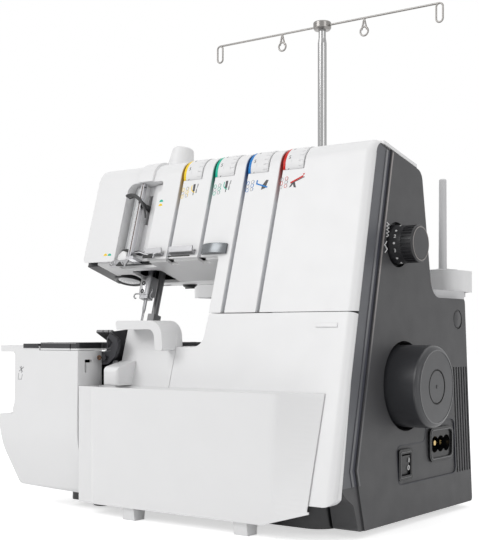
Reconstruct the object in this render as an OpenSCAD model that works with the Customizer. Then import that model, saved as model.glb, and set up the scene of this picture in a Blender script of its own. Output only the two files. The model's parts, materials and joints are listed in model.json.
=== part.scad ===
// Four-thread serger (overlock machine) with thread stand.
// X runs to the right, Y to the back and Z up. The datum of the outlines is the foot of
// the machine below the needle side; sizes named ..._left run to the left of it.

/* [Body] */
// Right side of the body at the table, from the datum
side_foot_x = 140; // [134:1:150]
// Draft of the right side for each mm of height
side_draft = 0.04; // [0:0.01:0.06]
// Front face at the table, from the datum
front_foot_y = -121; // [-126:1:-116]
// Lean of the front for each mm of height
front_lean = 0.288; // [0.26:0.004:0.31]
// Height at which front and top meet
brow_z = 290; // [284:1:300]
// Fall of the top for each mm of depth
top_fall = 0.228; // [0.18:0.01:0.26]
// Rear wall of the base
base_back_y = 106; // [100:1:114]
// Height of the shelf behind the column
shelf_z = 172; // [164:1:180]
// Rear face of the column at the shelf
column_back_y = 46; // [42:1:50]
// Underside of the housing above the table
foot_gap = 5; // [3:1:8]
// Moulded covers thickness
wall = 2.6; // [2:0.1:3.4]
// Gap between neighbouring covers
cover_gap = 0.4; // [0.3:0.05:0.8]
// Wrap of the white covers round the right side
wrap = 7; // [5:0.5:10]
// Width of the recessed strip beside them
strip_w = 20; // [14:1:26]
// Depth of that strip below the side face
strip_step = 1.2; // [0.6:0.1:2]
// Radius between front and top
brow_r = 16; // [12:1:20]
// Covers' right edge radius
edge_r = 6; // [4:0.5:7]

/* [Head] */
// Left end of the head
head_left = 144; // [138:1:150]
// Height of the lower edge of the head's front
chin_z = 204; // [200:1:210]
// Height of the flat underside of the head
head_low_z = 188; // [184:1:192]
// Where the slanted underside becomes flat
chin_back_y = -17; // [-24:1:-10]
// Head's end cover width
end_cover_w = 14; // [10:1:18]
// Left side of the column
column_x = 4; // [0:1:10]
// Height of the joint between the front covers
joint_z = 159; // [154:1:164]

/* [Tension dials] */
// Left edge of the first thread channel
channel_x = -50.6; // [-56:0.2:-48]
// Distance between thread channels
channel_pitch = 32.9; // [31:0.1:34]
// Thread channel width
channel_w = 3.8; // [3:0.1:5]
// Thread channel depth
channel_depth = 9; // [6:0.5:11]
// Tension dial width
dial_w = 19.6; // [16:0.2:21]
// How far a dial stands out of the rounded brow
dial_proud = 0.6; // [0.4:0.1:1.2]
// Gap beside a dial
dial_gap = 0.8; // [0.5:0.1:1.2]
// Radius of the rod that carries the dials
dial_rod_r = 3; // [2.5:0.5:4]

/* [Bed] */
// Top of the cloth plate
bed_z = 136; // [132:1:138]
// Cloth plate thickness
cloth_plate_h = 6; // [4:0.5:8]
// Left end of the cloth plate
cloth_plate_left = 141; // [136:1:146]
// Right edge of the cloth plate
cloth_plate_right = 66; // [62:1:70]
// Rear edge of the bed
bed_back_y = 40; // [34:1:46]
// Rear edge of the cloth plate
cloth_plate_back_y = 11; // [10:1:16]
// Left end of the free-arm cover
arm_cover_left = 189; // [180:1:196]
// Right end of the free-arm cover
arm_cover_right = 96.5; // [92:0.5:98]

/* [Looper cover and chute] */
// Bottom of the white lower covers
cover_low_z = 26; // [22:1:32]
// Left edge of the looper cover
looper_cover_x = -22; // [-26:1:-18]
// Height of the looper cover beside the column
cover_step_z = 133; // [128:1:136]
// Height of the hood over the waste chute
hood_z = 153.5; // [150:0.5:160]
// How far the hood stands out
hood_out = 22; // [16:1:24]
// Left end of the hood
hood_x = -72; // [-76:1:-66]

/* [Waste tray] */
// Top edge of the tray
tray_z = 101.7; // [90:0.1:112]
// Front wall of the tray
tray_front_y = -120; // [-126:1:-119]
// Underside of the tray
tray_low_z = 10; // [8:1:14]
// Left end of the tray
tray_left = 96; // [90:0.5:96]
// Right end of the tray's front wall
tray_right = 97; // [88:1:104]
// Right end of the tray beside the cover
tray_flare_x = 120.5; // [112:0.5:126]
// Wall thickness of the tray
tray_wall = 2.2; // [1.6:0.1:3]

/* [Needle and presser] */
// Needle line
needle_left = 95; // [92:1:98]
// Needle line where it meets the bed
needle_y = -45; // [-48:1:-42]
// Needle bar radius
needle_bar_r = 3.4; // [3:0.1:4]
// Presser bar radius
presser_bar_r = 3; // [2.5:0.1:3.6]
// Distance from needle bar back to presser bar
bar_pitch = 13; // [11:0.5:15]
// Radius of one needle's shank
needle_r = 1; // [0.8:0.05:1.1]
// Distance between the two needles
needle_pitch = 2.4; // [2.2:0.1:3]
// Height of the needle points above the bed
needle_lift = 9; // [6:1:10]
// Running clearance between shafts and their bores
run_fit = 0.05; // [0.02:0.01:0.1]

/* [Drive] */
// Handwheel axis, back from the datum
wheel_y = -3.4; // [-8:0.2:2]
// Handwheel axis height
wheel_z = 104; // [98:1:108]
// Handwheel radius
wheel_r = 30.8; // [26:0.2:33]
// Radius of the well round the handwheel
well_r = 33.7; // [31:0.1:36]
// Outer face of the handwheel
wheel_face_x = 162; // [156:1:168]
// Main shaft radius
shaft_r = 5; // [4:0.5:6]
// Radius of the belt pulley on the main shaft
pulley_r = 26; // [22:1:28]
// Motor pulley radius
motor_pulley_r = 8; // [6:0.5:10]
// Motor axis, back from the datum
motor_y = 66; // [60:1:70]
// Motor axis height
motor_z = 52; // [46:1:58]
// Motor housing radius
motor_r = 27; // [22:1:30]
// Drive belt thickness
belt_t = 2; // [1.5:0.1:3]
// Drive belt width
belt_w = 8; // [6:0.5:10]

/* [Controls] */
// Stitch-length dial axis, back from the datum
length_dial_y = -8; // [-12:1:-4]
// Stitch-length dial axis height
length_dial_z = 210; // [200:1:218]
// Stitch-length dial radius
length_dial_r = 14; // [11:0.5:16]
// Radius of the well round the stitch-length dial
length_well_r = 17; // [16:0.5:20]
// Outer face of the stitch-length dial
length_dial_face_x = 151; // [146:1:156]
// Seam-width knob radius
width_knob_r = 11.5; // [9:0.5:13]
// Seam-width knob axis
width_knob_left = 165; // [162:1:168]
// Seam-width knob axis height
width_knob_z = 104; // [100:1:108]
// Base radius of the presser pressure knob
pressure_knob_r = 12; // [9:0.5:13]
// Presser pressure knob height
pressure_knob_h = 20; // [12:1:24]

/* [Thread stand] */
// Left end of the spool stand
stand_left = 165; // [155:1:175]
// Right end of the spool stand
stand_right = 125; // [118:1:132]
// Rear edge of the spool stand
stand_back_y = 149; // [142:1:156]
// Front edge of the spool stand
stand_front_y = 104; // [98:1:108]
// Underside of the spool stand
stand_z = 179; // [176:1:184]
// Spool stand height
stand_h = 18; // [14:1:22]
// Height of the spool pins above the stand
pin_h = 80; // [60:5:90]
// Spool pin radius
pin_r = 3.4; // [2.5:0.1:4.5]
// Thread guide bar height
guide_z = 430; // [400:5:450]
// Outer radius of the visible mast tube
mast_r = 4.2; // [3.8:0.1:5]
// Guide wire radius
wire_r = 0.95; // [0.8:0.05:1.3]

/* [Hidden] */

$fn = 64;
white = [0.92, 0.92, 0.93];
dark = [0.29, 0.29, 0.3];
black = [0.06, 0.06, 0.07];
steel = [0.74, 0.75, 0.77];
lean_angle = atan(front_lean);
top_angle = atan(top_fall);
brow_y = front_foot_y + front_lean * brow_z;
side_in_x = side_foot_x - 22;
bars_x = -needle_left;
rear_lean = 0.1;
wheel_at = [wheel_y, wheel_z];
motor_at = [motor_y, motor_z];
length_dial_at = [length_dial_y, length_dial_z];
wrap_kink_z = 111;

// ---- Outlines and helpers ----

// Y of the front face at height z
function front_y(z) = front_foot_y + front_lean * z;
// Y of the side cover's joint at height z
function seam_y(z) = front_y(z) + wrap + 0.06 * max(0, wrap_kink_z - z);
// X of the right side at height z
function side_x(z) = side_foot_x - side_draft * z;
// Height of the top at depth y
function top_z(y) = brow_z - top_fall * (y - brow_y);
// Y of the column's rear face at height z
function rear_y(z) = column_back_y - rear_lean * (z - shelf_z);
// Vector of length one
function unit(v) = v / norm(v);

// Points of an outline, each corner with its own radius
function rounded(corners, radii, steps = 6) = [
  for (i = [0 : len(corners) - 1])
    let (
      n = len(corners),
      here = corners[i],
      back = unit(corners[(i + n - 1) % n] - here),
      ahead = unit(corners[(i + 1) % n] - here),
      half = acos(back * ahead) / 2,
      centre = here + unit(back + ahead) * radii[i] / sin(half),
      start = here + back * radii[i] / tan(half) - centre,
      end = here + ahead * radii[i] / tan(half) - centre,
      turn = sign(start[0] * end[1] - start[1] * end[0]) * (180 - 2 * half),
      angle = atan2(start[1], start[0])
    )
    each radii[i] == 0
      ? [here]
      : [
        for (k = [0 : steps])
          centre + radii[i] * [cos(angle + turn * k / steps), sin(angle + turn * k / steps)]
      ]
];

// Area of an outline with rounded corners
module outline(corners, radii) {
  polygon(rounded(corners, radii));
}

// Moves the datum so that the machine stands centred on Z
module place() {
  translate([(arm_cover_left - wheel_face_x) / 2, -(stand_back_y + tray_front_y) / 2, 0])
    children();
}

// Prism of a (Y, Z) outline from x0 to x1
module along_x(x0, x1) {
  translate([x0, 0, 0]) rotate([90, 0, 90]) linear_extrude(x1 - x0) children();
}

// Prism of an (X, Z) outline from y0 to y1
module along_y(y0, y1) {
  translate([0, y1, 0]) rotate([90, 0, 0]) linear_extrude(y1 - y0) children();
}

// Prism of an (X, Y) outline from z0 to z1
module along_z(z0, z1) {
  translate([0, 0, z0]) linear_extrude(z1 - z0) children();
}

// Box between two corners
module box(low, high) {
  translate(low) cube(high - low);
}

// Cylinder along X from x0 to x1 about at = [y, z]
module rod_x(x0, x1, at, r) {
  translate([x0, at[0], at[1]]) rotate([0, 90, 0]) cylinder(h = x1 - x0, r = r);
}

// Cylinder along Y from y0 to y1 about at = [x, z]
module rod_y(y0, y1, at, r) {
  translate([at[0], y1, at[1]]) rotate([90, 0, 0]) cylinder(h = y1 - y0, r = r);
}

// Moves to at = [y, z]
module at_yz(at) {
  translate([0, at[0], at[1]]) children();
}

// Rectangle with rounded corners
module round_rect(low, high, r) {
  outline([low, [high[0], low[1]], high, [low[0], high[1]]], [r, r, r, r]);
}

// Rounded rectangle over the ranges u and v, set in by d
module inset_rect(u, v, d, r) {
  round_rect([u[0] + d, v[0] + d], [u[1] - d, v[1] - d], r);
}

// Frame on the front face: y up the face, z outwards
module on_front() {
  translate([0, front_foot_y, 0]) rotate([90 - lean_angle, 0, 0]) children();
}

// Distance up the front face to height z
function up_face(z) = z / cos(lean_angle);

// Frame on the needle line: z up the line from the bed, y to the back
module on_needle() {
  translate([bars_x, needle_y, bed_z]) rotate([-lean_angle, 0, 0]) children();
}

// Everything left of the drafted right side, set in by d
module inside_side(d) {
  along_y(-400, 400) polygon([
    [-400, -50], [side_foot_x - d + 50 * side_draft, -50], [side_x(600) - d, 600], [-400, 600],
  ]);
}

// Cutter that rounds an outer edge along z with radius r
module edge_cutter(r, length) {
  difference() {
    translate([0, 0, -1]) cube([r + 5, r + 5, length + 2]);
    translate([0, 0, -2]) cylinder(h = length + 4, r = r);
  }
}

// ---- White covers ----

// Corner between front and top, both set in by d
function brow(d) =
  let (z = brow_z - d * (top_fall / cos(lean_angle) + 1 / cos(top_angle)) / (1 + top_fall * front_lean))
  [front_y(z) + d / cos(lean_angle), z];

top_back_y = 28;
brow_axis = brow(brow_r);
dial_r = brow_r + dial_proud;

// (Y, Z) region behind front and top, set in by d
module upper_region(d) {
  low = joint_z + cover_gap / 2 - max(d, 0);
  back = top_back_y + max(d, 0);
  outline(
    [
      [front_y(low) + d / cos(lean_angle), low],
      brow(d),
      [back, top_z(back) - d / cos(top_angle)], [back, low],
    ],
    [0, brow_r - d, 0, 0]
  );
}

// Rounds the front, brow and top edges of the right side
module right_edge_cut() {
  brow_x = side_x(brow_z - brow_r / 2);
  on_front() translate([side_foot_x - edge_r * 1.02, 0, -edge_r])
    rotate([0, 0, atan(side_draft * cos(lean_angle))])
      translate([0, up_face(brow_z) - brow_r * 0.94, 0]) rotate([90, 0, 0])
        edge_cutter(edge_r, up_face(brow_z));
  at_yz(brow_axis) rotate([0, 90, 0]) rotate([0, 0, 180 - top_angle])
    rotate_extrude(angle = 90 - lean_angle + top_angle)
      translate([brow_r - edge_r, brow_x - edge_r]) difference() {
        square(edge_r + 5);
        circle(r = edge_r);
      }
}

// Wall round a thread channel or the take-up recess
rib = 1.8;

// Left edge of thread channel i
function channel_at(i) = channel_x + i * channel_pitch;

// Groove of a thread channel, or with rim > 0 its walls
module channel(x, rim) {
  last_y = brow_axis[0] + brow_r * 0.8 + rim;
  along_x(x - rim, x + channel_w + rim) difference() {
    upper_region(rim > 0 ? 0 : -3);
    upper_region(channel_depth + rim);
    translate([last_y, 0]) square([200, 400]);
  }
}

recess_left = -108;
recess_right = -73;
recess_low_z = chin_z - 2;
recess_top_z = 271;
recess_depth = 12;

// Take-up recess, grown by rim and depth deep
module take_up_recess(rim, depth, rise) {
  low = up_face(recess_low_z) - 5;
  top = up_face(recess_top_z) + rim;
  on_front() translate([0, 0, -depth]) linear_extrude(depth + rise) outline(
    [
      [recess_left - rim, low], [recess_right + rim, low],
      [recess_right + rim, top - 10], [recess_right + 4 + rim, top - 9],
      [recess_right + 4 + rim, top], [recess_left - rim, top],
    ],
    [0, 0, 1, 2, 3, 8]
  );
}

// Front outline (X, Z) of the upper cover
module upper_front_outline() {
  outline(
    [
      [-head_left, chin_z], [column_x, chin_z], [column_x, joint_z - 1], [200, joint_z - 1],
      [200, 400], [-head_left, 400],
    ],
    [4, 3, 0, 0, 0, 0]
  );
}

module top_front_cover() place() color(white) {
  difference() {
    union() {
      intersection() {
        difference() {
          along_x(-head_left, 200) upper_region(0);
          intersection() {
            along_x(-head_left + wall, 200) upper_region(wall);
            inside_side(wall);
          }
        }
        inside_side(0);
      }
      for (i = [0 : 3])
        channel(channel_at(i), rib);
      intersection() {
        take_up_recess(rib, recess_depth + rib, 0);
        along_x(-head_left, 200) upper_region(0);
      }
    }
    // Everything outside the front outline
    difference() {
      box([-400, -300, 0], [400, 300, 400]);
      along_y(-300, 300) upper_front_outline();
    }
    // Room for the end covers behind the seam
    along_x(side_in_x - 1, 300) side_outline(-cover_gap);
    along_x(-300, -head_left + end_cover_w + 1) side_outline(-cover_gap);
    for (i = [0 : 3]) {
      dial_window(channel_at(i));
      channel(channel_at(i), 0);
    }
    take_up_recess(0, recess_depth, 5);
    take_up_slot();
    right_edge_cut();
    pressure_knob_frame() cylinder(h = 30, r = pressure_stem_r + 0.5, center = true);
  }
  // Raised hump over the take-up
  intersection() {
    along_x(recess_left + 12, recess_right - 7) difference() {
      upper_region(-2);
      upper_region(wall / 2);
    }
    box([-400, brow_y - 10, recess_top_z + 0.5], [0, brow_y + 14, 300]);
  }
}

// Opening for one dial and its discs
module dial_window(x) {
  rod_x(x, x + channel_w / 2 + dial_w + 2 * dial_gap, brow_axis, dial_r + dial_gap);
}

take_up_x = -88;

// Slot in the floor of the take-up recess
module take_up_slot() {
  on_front() translate([take_up_x - 2.5, up_face(214), -recess_depth - 5])
    cube([5, up_face(262) - up_face(214), 20]);
}

// Front outline (X, Z) of the looper cover, set in by d
module looper_cover_outline(d) {
  outline(
    [
      [looper_cover_x + d, cover_low_z + d], [side_x(0) - d, cover_low_z + d],
      [side_x(200) - d, 200], [column_x + 60, 200], [column_x + 60, joint_z - cover_gap - d],
      [column_x + 0.5 + d, joint_z - cover_gap - d], [column_x - 1 + d, cover_step_z - d],
      [looper_cover_x + d, cover_step_z - d],
    ],
    [2, max(8 - d, 2), 0, 0, 0, 2, 9, 1]
  );
}

hinge_y = -106.3;
hinge_z = cover_low_z + 5.5;
hinge_at = [hinge_y, hinge_z];
// The folding cover passes below the upper one
swing_r = norm([front_y(joint_z) - hinge_y, joint_z + cover_gap / 2 - hinge_z]) - cover_gap;
hinge_rod_r = 1.8;
hinge_barrel_r = 3.4;

module looper_cover() place() color(white) {
  difference() {
    intersection() {
      difference() {
        intersection() {
          along_x(looper_cover_x, 200) wrap_band(0, -cover_gap);
          along_y(-200, 100) looper_cover_outline(0);
          inside_side(0);
        }
        intersection() {
          along_x(looper_cover_x, 200) wrap_band(wall, 5);
          along_y(-200, 100) looper_cover_outline(wall);
          inside_side(wall);
        }
      }
      rod_x(-100, 200, hinge_at, swing_r);
    }
    right_edge_cut();
    hinge_room();
  }
  difference() {
    for (x = [10, 100])
      rod_x(x, x + 12, hinge_at, hinge_barrel_r);
    rod_x(0, 130, hinge_at, hinge_rod_r + run_fit);
  }
  // Finger catch at the top right
  intersection() {
    along_x(104, 122) cover_band(-0.8, wall);
    box([-400, -400, 148], [400, 400, 151]);
  }
}

// Clears the frame's lugs while the cover slides to unlatch
module hinge_room() {
  for (x = hinge_lug_x) {
    low = x - cover_slide - 0.6;
    high = x + hinge_lug_w + 0.6;
    rod_x(low, high, hinge_at, hinge_barrel_r + 0.6);
    box([low, hinge_y - 2, 0], [high, hinge_y + 20, hinge_z]);
  }
}

// (Y, Z) band behind the front, from depth a to b
module cover_band(a, b) {
  polygon([[front_y(0) + a, 0], [front_y(0) + b, 0], [front_y(220) + b, 220], [front_y(220) + a, 220]]);
}

// (Y, Z) band from depth a to the side cover's joint, or past it by d
module wrap_band(a, d) {
  polygon([
    [front_y(0) + a, 0], [seam_y(0) + d, 0], [seam_y(wrap_kink_z) + d, wrap_kink_z],
    [seam_y(220) + d, 220], [front_y(220) + a, 220],
  ]);
}

module waste_chute() place() color(white) {
  right = looper_cover_x - cover_gap;
  hood_y = front_y(hood_z) - hood_out;
  leg_w = 7.6;
  pillow_x = [-76, -61];
  left = pillow_x[0] - 0.6;
  low = tray_z + tray_gap;
  // Front plate, level with the looper cover
  difference() {
    intersection() {
      along_x(left - 11, right) cover_band(0, wall);
      along_y(-200, 100) outline(
        [
          [left - 11, cover_low_z], [right, cover_low_z], [right, cover_step_z],
          [right - 1.4, hood_z - 1], [left, hood_z - 1], [left, 108], [left - 11, 108],
        ],
        [2, 2, 0, 12, 0, 2, 2]
      );
    }
    rod_x(-200, 0, hinge_at, hinge_barrel_r + 0.6);
  }
  // Boss that meets the tray
  intersection() {
    along_x(pillow_x[0], pillow_x[1])
      outline([[-90, low], [-108, low], [-108, 116.5], [front_y(122) + 1, 122]], [0, 1, 5, 0]);
    along_z(90, 130) outline(
      [[pillow_x[0], -60], [pillow_x[0], -108], [pillow_x[1], -108], [pillow_x[1], -60]],
      [0, 1, 3, 0]
    );
  }
  // Hood over the outlet
  difference() {
    along_y(hood_y, front_y(hood_z) + wall) outline(
      [
        [hood_x + 1.5, hood_z - 7], [hood_x, hood_z], [right - 1.8, hood_z], [right - 0.2, 130],
        [right - 0.2 - leg_w, 130], [right - 1.8 - leg_w, hood_z - 6.8],
      ],
      [1, 2, 12, 2, 1.5, 6]
    );
    translate([hood_x - 20, hood_y, 130]) rotate([8, 0, 0]) translate([0, -10, -30])
      cube([100, 10, 80]);
  }
}

tray_gap = 0.8;

// (Y, Z) outline of the tray with its low chamber behind
module tray_profile() {
  chamber_top = cover_low_z - 4;
  polygon([
    [tray_front_y + 1, tray_low_z], [tray_front_y, tray_z - 30], [tray_front_y, tray_z],
    [front_y(tray_z) - tray_gap, tray_z], [front_y(chamber_top) - tray_gap, chamber_top],
    [-99, chamber_top], [-99, tray_low_z],
  ]);
}

// (Y, Z) outline of the space for the waste
module tray_hollow() {
  floor_z = tray_low_z + 28;
  back = tray_gap + tray_wall / cos(lean_angle);
  polygon([
    [tray_front_y + tray_wall, floor_z], [tray_front_y + tray_wall, tray_z + 1],
    [front_y(tray_z + 1) - back, tray_z + 1], [front_y(floor_z) - back, floor_z],
  ]);
}

// (X, Y) plan of the tray's stepped left end, set in by d
module tray_left_plan(d) {
  outline(
    [
      [-tray_left + d, -60], [-tray_left + d, tray_front_y + 3.5 + d],
      [-tray_left + 15 + d, tray_front_y + 3.5 + d], [-tray_left + 23 + d, tray_front_y + d],
      [200, tray_front_y + d], [200, -60],
    ],
    [0, 2, 6, 8, 0, 0]
  );
}

// (X, Y) plan of the tray's right end, set in by d
module tray_right_plan(d) {
  span = tray_flare_x - tray_right;
  outline(
    [[-400, 600], [-400, 0], [-span - d, 0], [span - d, 2 * tray_depth(tray_z)], [span - d, 600]],
    [0, 0, 8, 0, 0]
  );
}

// Depth of the tray at height z
function tray_depth(z) = front_y(z) - tray_gap - tray_front_y;

module waste_tray() place() color(white) {
  chamber_right = tray_right - 12;
  difference() {
    intersection() {
      along_x(-tray_left - 1, tray_flare_x + 1) tray_profile();
      along_z(0, 200) tray_left_plan(0);
      // The flank flattens towards the bottom
      translate([tray_flare_x, tray_front_y, tray_z]) mirror([0, 0, 1]) linear_extrude(
        tray_z - tray_low_z, scale = [1.3, tray_depth(tray_low_z) / tray_depth(tray_z)], slices = 24
      ) tray_right_plan(0);
    }
    intersection() {
      along_x(-tray_left - 2, tray_flare_x + 2) tray_hollow();
      along_z(1, 199) tray_left_plan(tray_wall);
      translate([tray_flare_x, tray_front_y, 1]) linear_extrude(198) tray_right_plan(2 * tray_wall);
    }
    // Low chamber, open to the back
    box(
      [-tray_left + tray_wall, tray_front_y + tray_wall + 4, tray_low_z + tray_wall],
      [chamber_right - tray_wall, -90, cover_low_z - 4 - tray_wall]
    );
    // Rising lower edge of the right end
    box([chamber_right, front_y(cover_low_z) - tray_gap, 0], [200, 0, cover_low_z - 3]);
    along_y(-200, 0) polygon([[-tray_left, 0], [chamber_right, tray_low_z], [200, 43], [200, 0]]);
  }
  for (x = [-49, 58])
    along_x(x, x + 12)
      polygon([[-116, tray_low_z + 0.5], [-114.5, 0], [-103.5, 0], [-102, tray_low_z + 0.5]]);
}

arm_front_y = -115.5;
arm_step_y = -88.5;
arm_wall = 2.4;

// Front outline (X, Z) of the free-arm cover
module arm_cover_outline(d) {
  left = -arm_cover_left + d;
  outline(
    [
      [-arm_cover_right - d, 14 + d], [left + 16, 17 + d], [left + 3, 48], [left, 76],
      [left + 19, 76], [left + 19, 128.6], [left + 1.5, 128.6], [left + 1.5, 133.4],
      [-cloth_plate_left - 0.4, 133.4], [-cloth_plate_left - 0.4, bed_z - cloth_plate_h - 0.3],
      [-arm_cover_right - d, bed_z - cloth_plate_h - 0.3],
    ],
    [2, 5, 40, 1.5, 12, 4, 1, 1, 0, 0, 0]
  );
}

// (Y, Z) outline of the free-arm cover, set in by d
module arm_cover_profile(d) {
  outline(
    [
      [arm_front_y + 9 + d, 14 + d], [arm_front_y - 1.5 + d, 60], [arm_front_y + d, 134 + d],
      [-32, 134 + d], [-32, 14 + d],
    ],
    [6, 80, 0, 0, 0]
  );
}

module free_arm_cover() place() color(white) {
  difference() {
    intersection() {
      along_x(-arm_cover_left, -arm_cover_right) arm_cover_profile(0);
      along_y(-200, 0) arm_cover_outline(0);
    }
    // Hollow, open to the right, the back and below
    intersection() {
      along_x(-arm_cover_left + arm_wall, -arm_cover_right - arm_wall) arm_cover_profile(arm_wall);
      along_z(-1, bed_z - cloth_plate_h - 3) outline(
        [[-arm_cover_left + arm_wall, 10], [-arm_cover_left + arm_wall, -113], [-90, -113], [-90, 10]],
        [0, 10, 0, 0]
      );
    }
    box([-160, arm_step_y, -1], [-arm_cover_right + 1, 10, 200]);
    box([-arm_cover_right - arm_wall - 1, arm_step_y, -1], [-90, 10, 200]);
    // Finger notch for the seam-width knob
    box([-arm_cover_left - 1, -200, 76.5], [-arm_cover_left + 17, -60, 128.2]);
    // Angled slot in the right end
    box([-arm_cover_right - 10, -108, 120], [-90, -100, 122.4]);
    box([-arm_cover_right - 10, -108, 112], [-90, -106, 122.4]);
  }
}

// ---- Dark housing ----

base_front_y = -86;
side_drop = 3;
split_z = 128;
base_left_x = -135;

// Corner of the seam and the side cover's top, set in by d
function side_brow(d) =
  let (
    back = wrap + d / cos(lean_angle),
    down = side_drop + d / cos(top_angle),
    z = brow_z - (top_fall * back + down) / (1 + top_fall * front_lean)
  )
  [front_y(z) + back, z];

// Rear corner of the top, lowered by drop, set in by d
function rear_brow(d, drop) =
  let (
    z = (brow_z - drop - d / cos(top_angle)
      - top_fall * (column_back_y + rear_lean * shelf_z - d - brow_y))
      / (1 - top_fall * rear_lean)
  )
  [rear_y(z) - d, z];

// (Y, Z) outline of the side cover, set in by d
module side_outline(d) {
  outline(
    [
      [base_front_y + 8 + d, foot_gap + d], [base_front_y + 3 + d, 24 + d / 2],
      [seam_y(34) + d, 34 + d / 2], [seam_y(wrap_kink_z) + d, wrap_kink_z], side_brow(d),
      rear_brow(d, side_drop),
      [rear_y(shelf_z) - d, shelf_z - d], [base_back_y - d, shelf_z - d], [base_back_y - d, foot_gap + d],
    ],
    [4, 6, 12, 0, 10, 9, 14, 3, 3]
  );
}

inlet_y = [32, 71];
inlet_z = [44, 69];
switch_y = [-18, 1];
switch_z = [35, 56];

module side_cover() place() color(dark) {
  cup_r = 2.2;
  difference() {
    union() {
      difference() {
        side_block(0, side_in_x);
        side_block(wall, side_in_x - 1);
      }
      // Cups behind the two wells
      intersection() {
        side_block(0, side_in_x);
        union() {
          rod_x(side_in_x + 2, 200, wheel_at, well_r + cup_r);
          rod_x(side_in_x + 6, 200, length_dial_at, length_well_r + cup_r);
        }
      }
    }
    rod_x(side_in_x + 5, 200, wheel_at, well_r);
    rod_x(side_in_x - 1, 200, wheel_at, shaft_r + 2);
    rod_x(side_in_x + 9, 200, length_dial_at, length_well_r);
    rod_x(side_in_x - 1, 200, length_dial_at, length_stem_r + run_fit);
    // Recessed strip beside the white covers
    difference() {
      along_x(side_in_x, 200) difference() {
        side_outline(-5);
        strip_limit();
      }
      inside_side(strip_step);
    }
    // Shallow panel round switch and inlet
    difference() {
      along_x(side_in_x, 200) outline(
        [[-20, 31], [77, 31], [77, 75], [28, 75], [24, 60], [-20, 60]],
        [6, 6, 6, 6, 6, 6]
      );
      inside_side(0.8);
    }
    along_x(side_in_x, 200) inset_rect(inlet_y, inlet_z, 0, 5);
    along_x(side_in_x, 200) inset_rect(switch_y, switch_z, 0, 1.5);
    // Vent slots
    for (i = [0 : 5])
      box([side_in_x + 5, 79 + i * 4.6, 31], [200, 81.2 + i * 4.6, 116]);
    // Recess of the screw cap
    rod_x(side_x(155) - 1, 200, [91, 155], 8);
    rod_x(side_in_x - 1, 200, [91, 155], 2.2);
  }
}

// Side cover from x0 to its drafted face, set in by d
module side_block(d, x0) {
  intersection() {
    along_x(x0, 300) side_outline(d);
    inside_side(d);
  }
}

// (Y, Z) region behind the recessed strip
module strip_limit() {
  foot_z = 48;
  polygon([
    [base_front_y + 16, 0], [front_y(foot_z) + wrap + strip_w, foot_z],
    [seam_y(320) + strip_w + 2, 320], [400, 320], [400, 0],
  ]);
}

// (Y, Z) outline of the rear cover, set in by d
module rear_outline(d) {
  open_y = d > 0 ? -100 : top_back_y + cover_gap;
  low = d > 0 ? split_z - 10 : split_z + cover_gap;
  outline(
    [
      [open_y, low], [open_y, top_z(open_y) - d / cos(top_angle)],
      rear_brow(d, 0),
      [rear_y(shelf_z) - d, shelf_z - d], [base_back_y - d, shelf_z - d], [base_back_y - d, low],
    ],
    [0, 0, 9 - d, 14, 3, 0]
  );
}

module rear_cover() place() color(dark) {
  left = -head_left + end_cover_w + cover_gap;
  difference() {
    along_x(left, side_in_x - cover_gap) rear_outline(0);
    along_x(left - 1, side_in_x) rear_outline(wall);
    box([-400, -400, 0], [column_x, 400, head_low_z]);
    // Rear vents and lifter slot
    for (x = [30 : 8 : 94])
      box([x, 80, 134], [x + 3, 200, 160]);
    box([lifter_x - 3.5, 30, 190], [lifter_x + 3.5, 60, 224]);
    for (x = [40, 100])
      translate([x, 80, shelf_z - 10]) cylinder(h = 20, r = 2.2);
  }
}

// (Y, Z) region above the head's underside, raised by d
module above_head_floor(d) {
  polygon([
    [-200, chin_z - 1 + d], [front_y(chin_z), chin_z - 1 + d], [chin_back_y, head_low_z + d],
    [200, head_low_z + d], [200, 400], [-200, 400],
  ]);
}

module head_end_cover() place() color(dark) {
  right = -head_left + end_cover_w;
  difference() {
    intersection() {
      along_x(-head_left, right) side_outline(0);
      along_x(-head_left, right) above_head_floor(0);
    }
    intersection() {
      along_x(-head_left + wall, right + 1) side_outline(wall);
      along_x(-head_left + wall, right + 1) above_head_floor(wall);
    }
  }
}

module head_bottom_cover() place() color(white) {
  left = -head_left + end_cover_w + cover_gap;
  difference() {
    intersection() {
      along_x(left, column_x - cover_gap) difference() {
        above_head_floor(0);
        above_head_floor(wall);
      }
      box(
        [-400, front_y(chin_z) + wall + cover_gap + 0.4, 0],
        [400, rear_y(head_low_z) - wall - 2 * cover_gap, 400]
      );
    }
    // Clears the recess and the channels of the white top
    take_up_recess(rib + cover_gap, recess_depth + rib + cover_gap, 5);
    for (i = [0 : 3])
      channel(channel_at(i), rib + cover_gap);
    // Opening for the needle and presser bars
    along_z(0, 300) round_rect([bars_x - 11, -43], [bars_x + 22, -6], 4);
    // Opening for the lamp
    along_z(0, 300) round_rect([bars_x - 32, -36], [bars_x - 14, -22], 5);
  }
}

module column_side_cover() place() color(white) {
  gap = wall + cover_gap;
  top = head_low_z - cover_gap;
  along_x(column_x, column_x + wall) outline(
    [
      [front_y(bed_z) + gap + wrap, bed_z], [front_y(joint_z) + gap + wrap, joint_z],
      [front_y(joint_z) + gap, joint_z], [front_y(top) + gap, top],
      [rear_y(top) - gap, top], [rear_y(shelf_z) - gap, shelf_z - gap],
      [base_back_y - gap, shelf_z - gap], [base_back_y - gap, split_z + cover_gap],
      [bed_back_y + 1, split_z + cover_gap], [bed_back_y, bed_z - 0.5],
    ],
    [0, 0, 0, 0, 0, 14, 3, 0, 0, 0]
  );
}

// Plan (X, Y) of the lower housing, set in by d
module base_plan(d) {
  right = side_in_x - cover_gap;
  outline(
    [
      [base_left_x + d, base_front_y + 2], [right, base_front_y + 2],
      [right, base_back_y - d], [base_left_x + d, base_back_y - d],
    ],
    [0, 0, 0, 10]
  );
}

base_floor_z = 22;

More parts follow.
